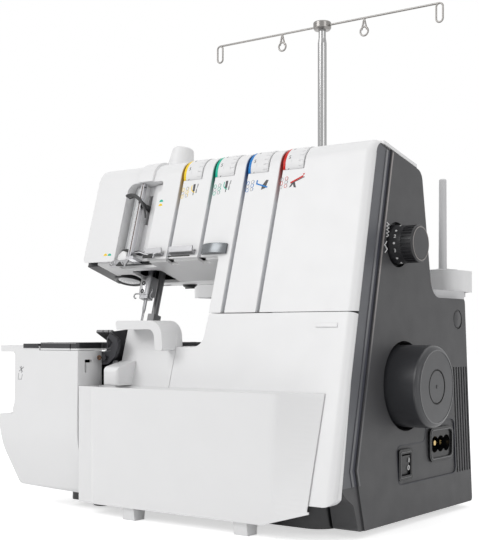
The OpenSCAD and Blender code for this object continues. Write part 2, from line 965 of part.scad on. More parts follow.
module base_cover() place() color(dark) {
  difference() {
    along_z(base_floor_z + cover_gap, split_z) base_plan(0);
    along_z(0, split_z - wall) base_plan(wall);
    box([base_left_x + wall, -400, 0], [400, base_back_y - wall - 8, split_z - wall]);
    // Open top
    box([base_left_x + wall, -400, 0], [400, bed_back_y + 1, 400]);
    box([column_x, -400, 0], [400, base_back_y - wall, 400]);
    // Rear vents
    for (x = [30 : 8 : 94])
      box([x, 90, 40], [x + 3, 200, 100]);
  }
}

// Plan (X, Y) of the pan, set in by d
module pan_plan(d) {
  low = [base_left_x + d, base_front_y - 1 + d];
  high = [side_in_x - cover_gap - d, base_back_y - d];
  outline([low, [high[0], low[1]], high, [low[0], high[1]]], [6 - d, 16 - d, 6 - d, 6 - d]);
}

module base_pan() place() color(black) {
  difference() {
    along_z(foot_gap, base_floor_z) pan_plan(0);
    along_z(foot_gap + 3, base_floor_z + 1) pan_plan(3);
  }
  for (x = [-118, -40, 40, 105], y = [-66, 88])
    translate([x, y, foot_gap + 3]) difference() {
      cylinder(h = frame_floor_z - foot_gap - 3, r = 5);
      translate([0, 0, -1]) cylinder(h = 20, r = 1.6);
    }
}

module rubber_feet() place() color(black) {
  for (at = [[-112, -70], [-112, 90], [104, -34], [104, 90]])
    translate(at) rotate_extrude()
      polygon([[0, 0], [8, 0], [9, 1], [9, foot_gap], [0, foot_gap]]);
}

frame_floor_z = 14;

module base_frame() place() color(steel) {
  beam_z = 222;
  post_y = [-30, -20];
  difference() {
    union() {
      box([-128, -78, frame_floor_z], [106, 92, frame_floor_z + 4]);
      // Bearing plates of the main shaft
      bearing_plate(-50, 126);
      bearing_plate(60, beam_z + 6);
      // Column post and arm beam
      box([20, 10, frame_floor_z], [26, 32, beam_z + 4]);
      box([-112, 10, beam_z], [110, 32, beam_z + 7]);
      box([-112, 26, beam_z], [110, 32, 262]);
      box([-114, 10, beam_z], [-70, 32, 262]);
      // Guides of the needle and presser bars
      bar_guide(70, 78);
      bar_guide(118, 128);
      box([bars_x - 17, -20, 199], [bars_x - 8, 14, beam_z + 4]);
      // Ear and pin of the take-up lever
      box([take_up_x + 5, take_up_pivot[0] - 4, 227], [take_up_x + 10, 12, 237]);
      rod_x(take_up_x - 3, take_up_x + 6, take_up_pivot, take_up_pin_r);
      // Ear and pin of the presser lifter
      box([lifter_x + 5, lifter_y - 5, lifter_z - 5], [lifter_x + 9, 14, beam_z + 4]);
      rod_x(lifter_x - 4, lifter_x + 6, lifter_at, lifter_pin_r);
      // Lugs of the looper cover's hinge
      for (x = hinge_lug_x)
        hinge_lug(x, x + hinge_lug_w);
      // Posts of the loopers, the knife and the feed bar
      box([lower_looper_at[0] - 7, post_y[0], frame_floor_z], [lower_looper_at[0] + 7, post_y[1], 66]);
      box([upper_looper_at[0] - 10, -14, frame_floor_z], [upper_looper_at[0] + 10, -8, 70]);
      along_x(knife_x + 10, knife_x + 15) polygon([
        [-70, frame_floor_z], [-82, frame_floor_z], [-82, 26],
        [knife_y - 6, 32], [knife_y - 6, 106], [knife_y + 6, 106], [knife_y + 6, 32], [-70, 26],
      ]);
      box([-118, 14, frame_floor_z], [-72, 20, 116]);
      // Dial rod brackets
      for (x = [channel_x - 8, channel_at(4) - 6]) {
        box([x, brow_axis[0] - 5, beam_z], [x + 4, 12, brow_axis[1]]);
        rod_x(x, x + 4, brow_axis, 6);
      }
    }
    rod_x(-60, 80, wheel_at, shaft_r + run_fit);
    rod_x(channel_x - 20, channel_x + 150, brow_axis, dial_rod_r);
    on_needle() {
      translate([0, 0, 40]) cylinder(h = 110, r = needle_bar_r + run_fit);
      translate([0, bar_pitch, 40]) cylinder(h = 110, r = presser_bar_r + run_fit);
    }
    rod_x(0, 130, hinge_at, hinge_rod_r + run_fit);
    rod_y(-35, 0, lower_looper_at, looper_shaft_r + run_fit);
    rod_y(-20, 0, upper_looper_at, looper_shaft_r + run_fit);
  }
  // Pin of the upper knife
  rod_x(knife_x - 2, knife_x + 11, knife_at, knife_pin_r);
}

take_up_pin_r = 2.5;
lifter_pin_r = 3;
knife_pin_r = 3;
looper_shaft_r = 3;
lower_looper_at = [-69, 56];
upper_looper_at = [-92, 60];
hinge_lug_x = [32, 87];
hinge_lug_w = 11;
cover_slide = 8;

// Plate with the main shaft's bearing
module bearing_plate(x, top) {
  along_x(x, x + 6) outline(
    [[-34, frame_floor_z], [32, frame_floor_z], [32, top], [-18, top], [-34, 110]],
    [0, 0, 3, 6, 10]
  );
}

// Block that guides both bars
module bar_guide(low, high) {
  on_needle() translate([-9, -7.5, low]) cube([18, 46, high - low]);
}

// Lug over the pan's rim that carries the hinge rod
module hinge_lug(x0, x1) {
  along_x(x0, x1) {
    translate([hinge_y, hinge_z]) circle(r = hinge_barrel_r - 0.8);
    polygon([
      [hinge_y, hinge_z + 2.4], [hinge_y, hinge_z - 1.5], [-91, hinge_z - 1.5],
      [-88, base_floor_z + 2], [-82, base_floor_z + 2], [-82, frame_floor_z],
      [-70, frame_floor_z], [-70, base_floor_z + 6], [-84, hinge_z + 2.4],
    ]);
  }
}

// ---- Drive ----

pulley_x = 102;

module main_shaft() place() color(steel) {
  rod_x(-70, wheel_face_x - 3.2, wheel_at, shaft_r);
  // Eccentrics of the feed and the loopers
  rod_x(-66, -58, [wheel_y + 2.5, wheel_z], 10);
  rod_x(-38, -32, [wheel_y, wheel_z + 3], 9);
  rod_x(-30, -24, [wheel_y, wheel_z - 3], 9);
}

// Grooved belt pulley along X
module pulley(r, x) {
  translate([x - 1.5, 0, 0]) rotate([0, 90, 0]) rotate_extrude() polygon([
    [0, 0], [r + belt_t + 0.8, 0], [r, 1.5], [r, belt_w + 2],
    [r + belt_t + 0.8, belt_w + 3.5], [0, belt_w + 3.5],
  ]);
}

module main_pulley() place() color(black) {
  difference() {
    at_yz(wheel_at) pulley(pulley_r, pulley_x);
    rod_x(pulley_x - 5, pulley_x + 20, wheel_at, shaft_r);
    for (angle = [0 : 60 : 300])
      at_yz(wheel_at) rotate([angle, 0, 0])
        rod_x(pulley_x - 5, pulley_x + 20, [pulley_r * 0.58, 0], pulley_r * 0.17);
  }
}

module motor_pulley() place() color(steel) {
  at_yz(motor_at) pulley(motor_pulley_r, pulley_x);
  rod_x(pulley_x - 12, pulley_x, motor_at, 3);
}

module drive_belt() place() color(black) {
  slack = 0.35;
  along_x(pulley_x + 1, pulley_x + 1 + belt_w - 1.5) difference() {
    belt_outline(slack + belt_t);
    belt_outline(slack);
  }
}

// (Y, Z) loop round both pulleys, standing off by d
module belt_outline(d) {
  span = [motor_y - wheel_y, motor_z - wheel_z];
  reach = norm(span);
  tilt = atan2(span[1], span[0]);
  open = acos((pulley_r - motor_pulley_r) / reach);
  big = pulley_r + d;
  small = motor_pulley_r + d;
  polygon(concat(
    [for (a = [open : 6 : 360 - open]) [wheel_y, wheel_z] + big * [cos(tilt + a), sin(tilt + a)]],
    [
      for (k = [0 : 12])
        let (a = -open + k * open / 6)
        [motor_y, motor_z] + small * [cos(tilt + a), sin(tilt + a)]
    ]
  ));
}

module drive_motor() place() color(steel) {
  front = pulley_x - 14;
  difference() {
    union() {
      rod_x(front - 62, front - 4, motor_at, motor_r);
      rod_x(front - 4, front, motor_at, 11);
      // Feet on the frame floor
      for (x = [front - 56, front - 18])
        box([x, motor_y - 20, frame_floor_z + 4], [x + 10, motor_y + 20, motor_z - 12]);
    }
    rod_x(front - 3, front + 1, motor_at, 3 + run_fit);
    // Cooling slots in the end cap
    for (angle = [0 : 45 : 315])
      translate([front - 10, motor_y, motor_z]) rotate([angle, 0, 0]) translate([0, 12, -2])
        cube([8, 10, 4]);
  }
}

module handwheel() place() color(dark) {
  back_x = side_x(wheel_z) - 6;
  hub_r = 12;
  rim_t = 3.5;
  fit = shaft_r + 0.02;
  at_yz(wheel_at) rotate([0, 90, 0]) rotate_extrude($fn = 96) outline(
    [
      [fit, back_x], [hub_r, back_x], [hub_r, wheel_face_x - 9],
      [wheel_r - rim_t, wheel_face_x - 9], [wheel_r - rim_t, back_x], [wheel_r, back_x],
      [wheel_r, wheel_face_x], [cap_r + 0.5, wheel_face_x],
      [cap_r + 0.5, wheel_face_x - 3], [fit, wheel_face_x - 3],
    ],
    [0, 0, 2, 2, 1, 1, 4, 0.4, 0, 0]
  );
}

cap_r = 12.4;

module handwheel_cap() place() color(dark) {
  translate([wheel_face_x - 3, wheel_y, wheel_z]) rotate([0, 90, 0]) rotate_extrude($fn = 96)
    polygon([[0, 0], [cap_r, 0], [cap_r, 2.4], [cap_r - 0.6, 2.9], [1.1, 2.9], [1.1, 2.2], [0, 2.2]]);
}

// ---- Controls ----

length_stem_r = 4;

module stitch_length_dial() place() color(black) {
  skirt_x = side_x(length_dial_z) + 1;
  grip_x = length_dial_face_x - 10;
  difference() {
    union() {
      rod_x(side_in_x + 4, skirt_x, length_dial_at, length_stem_r);
      at_yz(length_dial_at) rotate([0, 90, 0]) rotate_extrude($fn = 96)
        outline(
          [
            [0, side_in_x + 9.6], [length_dial_r + 0.8, side_in_x + 9.6],
            [length_dial_r + 0.8, skirt_x], [length_dial_r, grip_x],
            [length_dial_r, length_dial_face_x], [0, length_dial_face_x],
          ],
          [0, 0, 0.8, 0.5, 1.4, 0]
        );
    }
    // Grip ribs
    for (angle = [0 : 12 : 348])
      at_yz(length_dial_at) rotate([angle, 0, 0])
        box([grip_x, -0.8, length_dial_r - 0.7], [length_dial_face_x - 1.6, 0.8, 30]);
  }
}

width_knob_at = [-width_knob_left, width_knob_z];

module seam_width_knob() place() color(white) {
  front = arm_front_y + 7;
  difference() {
    union() {
      rod_y(front, front + 12, width_knob_at, width_knob_r);
      rod_y(front + 12, front + 34, width_knob_at, 4);
      rod_y(front + 34, -60, width_knob_at, 2.5);
    }
    for (angle = [0 : 15 : 345])
      translate([-width_knob_left, 0, width_knob_z]) rotate([0, angle, 0])
        box([width_knob_r - 0.7, front - 1, -0.9], [30, front + 11, 0.9]);
  }
}

pressure_knob_x = -78.5;
pressure_knob_y = -10;
pressure_stem_r = 4;

// Frame on the sloping top below the pressure knob
module pressure_knob_frame() {
  translate([pressure_knob_x, pressure_knob_y, top_z(pressure_knob_y)]) rotate([-top_angle, 0, 0])
    children();
}

module pressure_knob() place() color(white) {
  pressure_knob_frame() {
    translate([0, 0, -16]) cylinder(h = 16.6, r = pressure_stem_r);
    rotate_extrude() outline(
      [[0, 0.5], [pressure_knob_r, 0.5], [pressure_knob_r * 0.76, pressure_knob_h], [0, pressure_knob_h]],
      [0, 0.6, 2.2, 0]
    );
  }
}

switch_mid_z = (switch_z[0] + switch_z[1]) / 2;
switch_face_x = side_x(switch_mid_z);

module switch_bezel() place() color(black) {
  difference() {
    union() {
      along_x(switch_face_x - 14, switch_face_x) inset_rect(switch_y, switch_z, 0.15, 1.4);
      along_x(switch_face_x - 0.2, switch_face_x + 1) inset_rect(switch_y, switch_z, -1.2, 2.2);
    }
    along_x(switch_face_x - 11, switch_face_x + 2) inset_rect(switch_y, switch_z, 2.5, 0.8);
  }
}

module power_rocker() place() color(black) {
  rock = 8;
  half_z = (switch_z[1] - switch_z[0]) / 2 - 3.2;
  difference() {
    translate([switch_face_x - 3, 0, switch_mid_z]) rotate([0, rock, 0])
      translate([0, 0, -switch_mid_z]) along_x(-3, 3.4) round_rect(
        [switch_y[0] + 3.1, switch_mid_z - half_z], [switch_y[1] - 3.1, switch_mid_z + half_z],
        0.8
      );
    // Hollowed face
    translate([switch_face_x + 38.2, 0, switch_mid_z]) rotate([90, 0, 0])
      cylinder(h = 100, r = 38, center = true, $fn = 128);
  }
  // Pivot pin
  rod_y(switch_y[0] + 2.7, switch_y[1] - 2.7, [switch_face_x - 3, switch_mid_z], 1.4);
}

module mains_inlet() place() color(black) {
  face = side_x(56);
  difference() {
    union() {
      along_x(face - 22, face) inset_rect(inlet_y, inlet_z, 0.2, 4.8);
      along_x(face - 0.1, face + 1.2) difference() {
        inset_rect(inlet_y, inlet_z, -1, 6);
        inset_rect(inlet_y, inlet_z, 2, 4);
      }
    }
    // Scalloped socket
    for (k = [-1 : 1])
      rod_x(face - 18, face + 2, [inlet_mid_y + k * inlet_pitch, inlet_mid_z], 6.4);
    box(
      [face - 18, inlet_mid_y - inlet_pitch, inlet_mid_z - 4.4],
      [face + 2, inlet_mid_y + inlet_pitch, inlet_mid_z + 4.4]
    );
    for (k = [-1 : 1])
      rod_x(face - 30, face, [inlet_mid_y + k * inlet_pitch, inlet_mid_z], inlet_pin_r);
  }
}

inlet_mid_y = (inlet_y[0] + inlet_y[1]) / 2;
inlet_mid_z = (inlet_z[0] + inlet_z[1]) / 2;
inlet_pitch = 10;
inlet_pin_r = 2;

module inlet_pins() place() color([0.8, 0.66, 0.35]) {
  for (k = [-1 : 1])
    rod_x(side_x(56) - 24, side_x(56) - 5, [inlet_mid_y + k * inlet_pitch, inlet_mid_z], inlet_pin_r);
}

// ---- Tension dials ----

ring_w = 3;

// Tension dial beside thread channel i
module tension_dial(i, ring_colour) {
  x = channel_at(i) + channel_w / 2 + dial_gap / 2;
  translate([x, brow_axis[0], brow_axis[1]]) rotate([0, 90, 0]) {
    color(ring_colour) rotate_extrude($fn = 96) polygon([
      [dial_rod_r + run_fit, 0], [dial_r - 1.2, 0], [dial_r - 0.2, 0.8],
      [dial_r - 0.2, ring_w], [dial_rod_r + run_fit, ring_w],
    ]);
    color(white) difference() {
      rotate_extrude($fn = 96) outline(
        [
          [dial_rod_r + run_fit, ring_w], [dial_r, ring_w], [dial_r, dial_w],
          [dial_rod_r + run_fit, dial_w],
        ],
        [0, 0.4, 0.8, 0]
      );
      // Grip notches at the right rim
      for (angle = [0 : 15 : 345])
        rotate([0, 0, angle]) translate([dial_r - 0.4, -0.4, dial_w - 4]) cube([2, 0.8, 6]);
    }
  }
}

module left_needle_dial() place() tension_dial(0, [0.95, 0.78, 0.2]);

module right_needle_dial() place() tension_dial(1, [0.05, 0.7, 0.58]);

module upper_looper_dial() place() tension_dial(2, [0.1, 0.45, 0.8]);

module lower_looper_dial() place() tension_dial(3, [0.8, 0.12, 0.12]);

module dial_rod() place() color(steel) {
  rod_x(channel_x - 9, channel_at(4) - 1, brow_axis, dial_rod_r);
  // Tension discs in the thread channels
  for (i = [0 : 3], side = [0 : 1])
    translate([channel_at(i) + 0.4 + side * 0.9, brow_axis[0], brow_axis[1]])
      rotate([0, 90, 0]) cylinder(h = 0.7, r1 = 9 + side, r2 = 10 - side);
}

// ---- Needle, presser and take-up ----

clamp_low = 37.5;
clamp_high = 57;

module needle_bar() place() color(steel) {
  on_needle() translate([0, 0, clamp_low + 9]) cylinder(h = 129 - clamp_low, r = needle_bar_r);
}

module needle_clamp() place() color(steel) {
  fit = 0.02;
  on_needle() difference() {
    union() {
      // Block with its foot
      translate([0, -1, clamp_low + 3]) linear_extrude(clamp_high - clamp_low - 3)
        round_rect([-5.6, -5.2], [5.2, 6], 1.6);
      translate([0, -1.5, clamp_low]) linear_extrude(3) round_rect([-5, -4], [4.6, 4], 1.2);
      // Thread hook
      translate([-4, -4, clamp_low + 4.5]) rotate([0, -90, 0]) cylinder(h = 6, r = 0.6, $fn = 24);
      translate([-10, -4, clamp_low + 2.5]) rotate([90, 0, 0]) rotate([0, 0, 90])
        rotate_extrude(angle = 200) translate([2, 0]) circle(r = 0.6, $fn = 24);
    }
    translate([0, 0, clamp_low + 9]) cylinder(h = 40, r = needle_bar_r + fit);
    for (side = [-0.5, 0.5])
      translate([side * needle_pitch, -1.6 - side, clamp_low - 1])
        cylinder(h = 12, r = needle_r + fit);
    for (h = [6, 13])
      translate([-1.4, -8, clamp_low + h]) rotate([-90, 0, 0]) cylinder(h = 3, r = 1.6);
  }
}

module needles() place() color(steel) {
  on_needle() for (side = [-0.5, 0.5])
    translate([side * needle_pitch, -1.6 - side, needle_lift - side * 2]) rotate_extrude($fn = 24)
      polygon([
        [0, 0], [0.45, 3], [0.5, 17], [needle_r, 20],
        [needle_r, clamp_low + 8 - needle_lift], [0, clamp_low + 8 - needle_lift],
      ]);
}

foot_half_w = 8.4;

module presser_bar() place() color([0.4, 0.42, 0.45]) {
  collar_h = 80;
  arm_z = lifter_z + 11;
  on_needle() translate([0, bar_pitch, 0]) {
    translate([0, 0, 12]) cylinder(h = 122, r = presser_bar_r);
    translate([0, 0, collar_h]) cylinder(h = 8, r = presser_bar_r + 3);
  }
  // Arm that the lifter raises
  box([bars_x, -12, arm_z], [lifter_x + 3, -5, arm_z + 4]);
  box([lifter_x - 3, -12, arm_z], [lifter_x + 3, lifter_y + 14, arm_z + 4]);
  box([lifter_x - 3, lifter_y + 10, lifter_z + 5.6], [lifter_x + 3, lifter_y + 14, arm_z + 4]);
}

module presser_foot() place() color([0.35, 0.36, 0.38]) {
  sole = bed_z + 0.3;
  difference() {
    union() {
      // Sole with its toe curled up
      along_x(bars_x - foot_half_w, bars_x + foot_half_w) outline(
        [
          [needle_y + 22, sole + 0.6], [needle_y + 19, sole], [needle_y - 28, sole],
          [needle_y - 43, sole + 8], [needle_y - 42, sole + 10.4],
          [needle_y - 27, sole + 3], [needle_y + 22, sole + 2.4],
        ],
        [0.5, 3, 14, 1, 1, 12, 0.6]
      );
      // Ankle that clamps the bar
      on_needle() translate([-3.6, bar_pitch - 4.6, 8.5]) cube([7.2, 9.2, 19.5]);
      along_x(bars_x - 6, bars_x + 6) polygon([
        [needle_y + 8, sole + 1], [needle_y + 10, sole + 8], [needle_y + 18, sole + 8],
        [needle_y + 20, sole + 1],
      ]);
    }
    on_needle() translate([0, bar_pitch, 12]) cylinder(h = 40, r = presser_bar_r + 0.02);
    // Needle opening and thread slots
    box([bars_x - 3.5, needle_y - 7, 0], [bars_x + 3.5, needle_y + 5, sole + 6]);
    box([bars_x + 4.5, needle_y - 60, 0], [bars_x + 5.5, needle_y - 8, 400]);
    box([bars_x - 1.5, needle_y - 60, 0], [bars_x - 0.5, needle_y - 24, 400]);
  }
}

lifter_x = -62;
lifter_y = 4;
lifter_z = 198;
lifter_at = [lifter_y, lifter_z];

module presser_lifter() place() color(black) {
  difference() {
    union() {
      rod_x(lifter_x - 3, lifter_x + 3, lifter_at, 6);
      along_x(lifter_x - 2.5, lifter_x + 2.5) outline(
        [
          [lifter_y - 2, lifter_z - 5], [lifter_y + 44, lifter_z - 3],
          [lifter_y + 62, lifter_z - 12], [lifter_y + 64, lifter_z - 7],
          [lifter_y + 45, lifter_z + 4], [lifter_y - 2, lifter_z + 5],
        ],
        [1, 8, 2, 2, 8, 1]
      );
      // Finger pad
      rod_x(lifter_x - 9, lifter_x + 9, [lifter_y + 62, lifter_z - 9], 3.4);
    }
    rod_x(lifter_x - 5, lifter_x + 5, lifter_at, lifter_pin_r + run_fit);
  }
}

take_up_pivot = [-8, 232];

module take_up_lever() place() color(black) {
  along_x(take_up_x - 1.5, take_up_x + 1.5) difference() {
    union() {
      translate(take_up_pivot) circle(r = 6);
      polygon([
        take_up_pivot + [0, 4],
        take_up_pivot - [0, 4],
        [front_y(238) + 7, 236], [front_y(242) + 7, 240],
      ]);
    }
    translate(take_up_pivot) circle(r = take_up_pin_r + run_fit);
  }
  // Hook that carries the needle threads
  on_front() translate([take_up_x - 11, up_face(238) - 13, -6.2]) rotate([0, 0, 6])
    rotate_extrude(angle = 100) translate([17, 0]) circle(r = 1.3, $fn = 24);
}

module take_up_guide() place() color(steel) {
  low = up_face(recess_low_z) + 4.5;
  high = up_face(recess_top_z);
  // Strip that stands along the recess
  on_front() difference() {
    translate([take_up_x - 5.5, low, -3.4]) cube([3.4, high - low, 3.2]);
    translate([take_up_x - 4.3, low - 1, -1]) cube([1, high - low + 2, 2]);
  }
  on_front() translate([take_up_x - 10, low - 1, -recess_depth + 0.1])
    cube([11, 2.6, recess_depth - 0.4]);
}

// Bent strip guide on the head's lower edge from x0 to x1
module edge_guide(x0, x1, rise) {
  on_front() along_x(x0, x1) outline(
    [
      [up_face(chin_z + 5) - 3, 0.1], [up_face(chin_z + 5) - 3, 1.2],
      [up_face(chin_z + 5) - 1.5, rise], [up_face(chin_z + 5) + 3, rise + 0.6],
      [up_face(chin_z + 5) + 3, rise - 0.5], [up_face(chin_z + 5) - 0.5, rise - 1],
      [up_face(chin_z + 5) - 0.2, 0.1],
    ],
    [0, 0, 1, 0, 0, 0.8, 0]
  );
}

module head_thread_guides() place() color(steel) {
  edge_guide(recess_right + 2, channel_x - 3, 4);
  edge_guide(channel_x + channel_w + 2, channel_x + channel_pitch - 3, 4.6);
  // Domed plate beside the second channel
  on_front() intersection() {
    translate([channel_x + channel_pitch + channel_w + 13, up_face(chin_z + 5), -22])
      sphere(r = 27);
    translate([channel_x + channel_pitch + channel_w + 1, up_face(chin_z + 1.5), 0.1])
      cube([24, 8, 6]);
  }
  // Clip below the take-up recess
  on_front() along_x(recess_left + 1, recess_left + 17) polygon([
    [up_face(chin_z) + 1, 0.1], [up_face(chin_z) - 5, 3.2], [up_face(chin_z) - 6, 2.4],
    [up_face(chin_z) - 0.5, -0.6], [up_face(chin_z) + 0.6, -0.6],
  ]);
}

lamp_x = bars_x - 23;

module work_lamp() place() color([0.85, 0.86, 0.86]) {
  translate([lamp_x, -29, head_low_z + 7]) {
    linear_extrude(6) round_rect([-8, -6], [8, 6], 4);
    translate([0, 0, 6]) linear_extrude(3) round_rect([-11, -9], [11, 9], 3);
  }
}

// ---- Bed ----

knife_x = -84;
knife_y = -80;
knife_z = 100;
knife_at = [knife_y, knife_z];
knife_zone_y = -36;
plate_x = [bars_x - 11, knife_x - 2.4];
plate_y = [-72, -12];

module cloth_plate() place() color([0.2, 0.2, 0.21]) {
  low = bed_z - cloth_plate_h;
  knife_edge = knife_x - 2.3;
  difference() {
    along_z(low, bed_z) outline(
      [
        [-cloth_plate_left, arm_front_y - 0.3], [-arm_cover_right, arm_front_y - 0.3],
        [-arm_cover_right, arm_step_y], [knife_edge, arm_step_y],
        [knife_edge, knife_zone_y], [-cloth_plate_right, knife_zone_y],
        [-cloth_plate_right, cloth_plate_back_y], [-cloth_plate_left, cloth_plate_back_y],
      ],
      [3, 2, 1, 2, 2, 0, 8, 3]
    );
    // Seat of the needle plate
    box([plate_x[0] - 0.2, plate_y[0] - 0.2, low + 3], [plate_x[1] + 5, plate_y[1] + 0.2, bed_z + 1]);
    box([plate_x[0] + 3, plate_y[0] + 6, low - 1], [plate_x[1] + 5, plate_y[1] - 6, low + 4]);
    box([plate_x[1] - 2.6, plate_y[0] - 8.2, low - 1], [plate_x[1] + 5, plate_y[0] + 1, bed_z + 1]);
    // Thread notch at the front corner
    box([-arm_cover_right - 9, arm_front_y - 5, 0], [-arm_cover_right - 8, arm_front_y + 3, 400]);
  }
}

module needle_plate() place() color(steel) {
  low = bed_z - cloth_plate_h + 3;
  difference() {
    union() {
      box([plate_x[0], plate_y[0], low], [plate_x[1], plate_y[1], bed_z]);
      // Stitch finger beside the lower knife
      box([plate_x[1] - 2.2, plate_y[0] - 8, low + 1.6], [plate_x[1], plate_y[0], bed_z]);
    }
    box([bars_x - 3.2, needle_y - 6, 0], [bars_x + 3.2, needle_y + 4, 400]);
    for (x = feed_x)
      box([x - 1.7, needle_y - 12.5, 0], [x + 1.7, needle_y + 17, 400]);
    for (x = [plate_x[0] + 3.4, plate_x[1] - 4])
      translate([x, plate_y[1] - 4, 0]) cylinder(h = 400, r = 1.6);
  }
}

feed_x = [bars_x - 6.5, bars_x + 5.6];

module feed_dogs() place() color(steel) {
  low = bed_z - cloth_plate_h - 9;
  tooth = 2;
  difference() {
    for (x = feed_x)
      along_x(x - 1.2, x + 1.2) polygon(concat(
        [[needle_y + 13, low], [needle_y - 9, low], [needle_y - 9, bed_z - 1.4]],
        [for (k = [0 : 10]) [needle_y - 9 + k * tooth, bed_z - (k % 2 == 0 ? 0.5 : 1.4)]],
        [[needle_y + 13, bed_z - 1.4]]
      ));
    // Slot under the teeth
    box([-400, needle_y - 5, low - 1], [400, needle_y + 8, low + 3]);
  }
  // Carrier bar, reaching back to its bridge
  box([feed_x[0] - 1.2, needle_y + 11, low - 2], [feed_x[1] + 1.2, needle_y + 16, low + 3]);
  box([bars_x - 3, needle_y + 16, low - 2], [bars_x + 3, 10, low + 2]);
}

module bed_cover() place() color(white) {
  top = cover_step_z - 0.3;
  left = -cloth_plate_right + 0.4;
  step_x = looper_cover_x - 9;
  front = front_y(top) + wall + 1.4;
  hood_back = front_y(hood_z) + wall + cover_gap;
  difference() {
    along_z(top - 4, top) outline(
      [
        [left, front], [step_x, front], [step_x, hood_back], [column_x - 0.4, hood_back],
        [column_x - 0.4, bed_back_y], [-cloth_plate_left, bed_back_y],
        [-cloth_plate_left, cloth_plate_back_y + 0.4], [left, cloth_plate_back_y + 0.4],
      ],
      [1, 1, 1, 1, 0, 3, 1, 0]
    );
    box([left + 4, -60, top - 5], [column_x - 5, 30, top - wall]);
  }
}

// ---- Knives and loopers ----

module upper_knife() place() color([0.16, 0.16, 0.17]) {
  difference() {
    union() {
      // Blade and arm
      along_x(knife_x, knife_x + 1.6) outline(
        [
          [-46, bed_z - 6], [-46, bed_z + 9], [-60, bed_z + 12], [-90, bed_z + 9],
          [-96, bed_z + 4], [-96, 121.5], [-83, 121.5], [-81.5, 116],
          [knife_y - 5, knife_z], [knife_y + 6, knife_z], [-72, 116], [-72, bed_z + 1],
          [-66, bed_z + 2], [-62, bed_z - 5],
        ],
        [0, 2, 6, 4, 4, 3, 1, 3, 3, 3, 3, 2, 2, 0]
      );
      rod_x(knife_x, knife_x + 7.5, knife_at, 6.5);
      // Curved bracket in front of the knife
      along_y(-96, -92.5) outline(
        [
          [knife_x - 5, 118], [knife_x + 2, 119], [knife_x + 9, 125], [knife_x + 12, 132],
          [knife_x + 12, 139], [knife_x + 3, 144], [knife_x + 2, 140], [knife_x + 7, 136],
          [knife_x, 130], [knife_x - 5, 128],
        ],
        [1, 2, 6, 5, 3, 0.6, 0.6, 1, 3, 1]
      );
      // Clamp screw
      rod_y(-98, -96, [knife_x - 1.5, 124], 2.4);
    }
    rod_x(knife_x - 1, knife_x + 9, knife_at, knife_pin_r + run_fit);
  }
}

module lower_knife() place() color(steel) {
  x1 = knife_x - 0.25;
  difference() {
    union() {
      box([x1 - 1.5, -80, 112], [x1, -44, bed_z]);
      box([x1 - 8, -80, 108], [x1 - 1.5, -74.5, 126]);
    }
    rod_x(x1 - 10, x1 + 1, [-77, 116], 1.6);
  }
}

// Hub, arm and curved blade of a looper
module looper(reach, rise, sweep, blade_r) {
  rotate([90, 0, 0]) {
    cylinder(h = 5, r = 6);
    translate([0, 0, 5]) cylinder(h = 2, r = 4.5);
  }
  rotate([0, reach, 0]) translate([-2, -4.5, 0]) cube([4, 4, rise + 1]);
  rotate([90, 0, 0]) translate([0, 0, 0.6]) rotate([0, 0, 90 - reach])
    rotate_extrude(angle = sweep, $fn = 128) translate([rise - blade_r, 0])
      square([blade_r * 2, 3.6]);
}

module lower_looper() place() color(steel) {
  translate([lower_looper_at[0], -37, lower_looper_at[1]]) looper(-8, 56, 16, 1.4);
  rod_y(-37, -8, lower_looper_at, looper_shaft_r);
}

module upper_looper() place() color(steel) {
  translate([upper_looper_at[0], -20, upper_looper_at[1]]) looper(4, 44, -22, 1.5);
  rod_y(-20, -4, upper_looper_at, looper_shaft_r);
}

module looper_thread_guides() place() color(steel) {
  // Plate with a row of eyelets
  difference() {
    box([0, -62, 60], [96, -60.6, 72]);
    for (x = [10 : 19 : 86])
      rod_y(-70, -50, [x, 66], 2.2);
  }
  box([44, -61.5, frame_floor_z + 4], [52, -60, 60]);
  // Eyelet ring on a stalk
  for (x = [12, 84])
    translate([x, -61.3, 72]) {
      cylinder(h = 12, r = 0.7);
      translate([0, 0, 15]) rotate([90, 0, 0]) rotate_extrude() translate([3, 0])
        circle(r = 0.7, $fn = 24);
    }
}

module looper_cover_hinge() place() color(steel) {
  rod_x(2, 126, hinge_at, hinge_rod_r);
}

// ---- Thread stand ----

stand_top_z = stand_z + stand_h;
stand_mid_x = (stand_right - stand_left) / 2;
stand_mid_y = (stand_front_y + stand_back_y) / 2;
pin_x = [-133, -60, 28, 103];

// Plan (X, Y) of the spool stand, set in by d
module stand_plan(d) {
  bulge = 4;
  outline(
    [
      [-stand_left + d, stand_front_y + bulge + d], [stand_mid_x, stand_front_y + d],
      [stand_right - d, stand_front_y + bulge + d], [stand_right - d, stand_back_y - d],
      [-stand_left + d, stand_back_y - d],
    ],
    [14 - d, 400, 14 - d, 14 - d, 14 - d]
  );
}

module spool_stand() place() color(white) {
  difference() {
    along_z(stand_z, stand_top_z) stand_plan(0);
    difference() {
      along_z(stand_z - 1, stand_top_z - wall) stand_plan(wall);
      for (x = pin_x)
        translate([x, stand_mid_y, 0]) cylinder(h = 400, r = 6);
      translate([stand_mid_x, stand_mid_y, 0]) cylinder(h = 400, r = mast_r + 6);
    }
    for (x = pin_x)
      translate([x, stand_mid_y, stand_z + 3]) cylinder(h = 400, r = pin_r - 0.6);
    translate([stand_mid_x, stand_mid_y, 0]) cylinder(h = 400, r = mast_r + 1.6);
  }
}

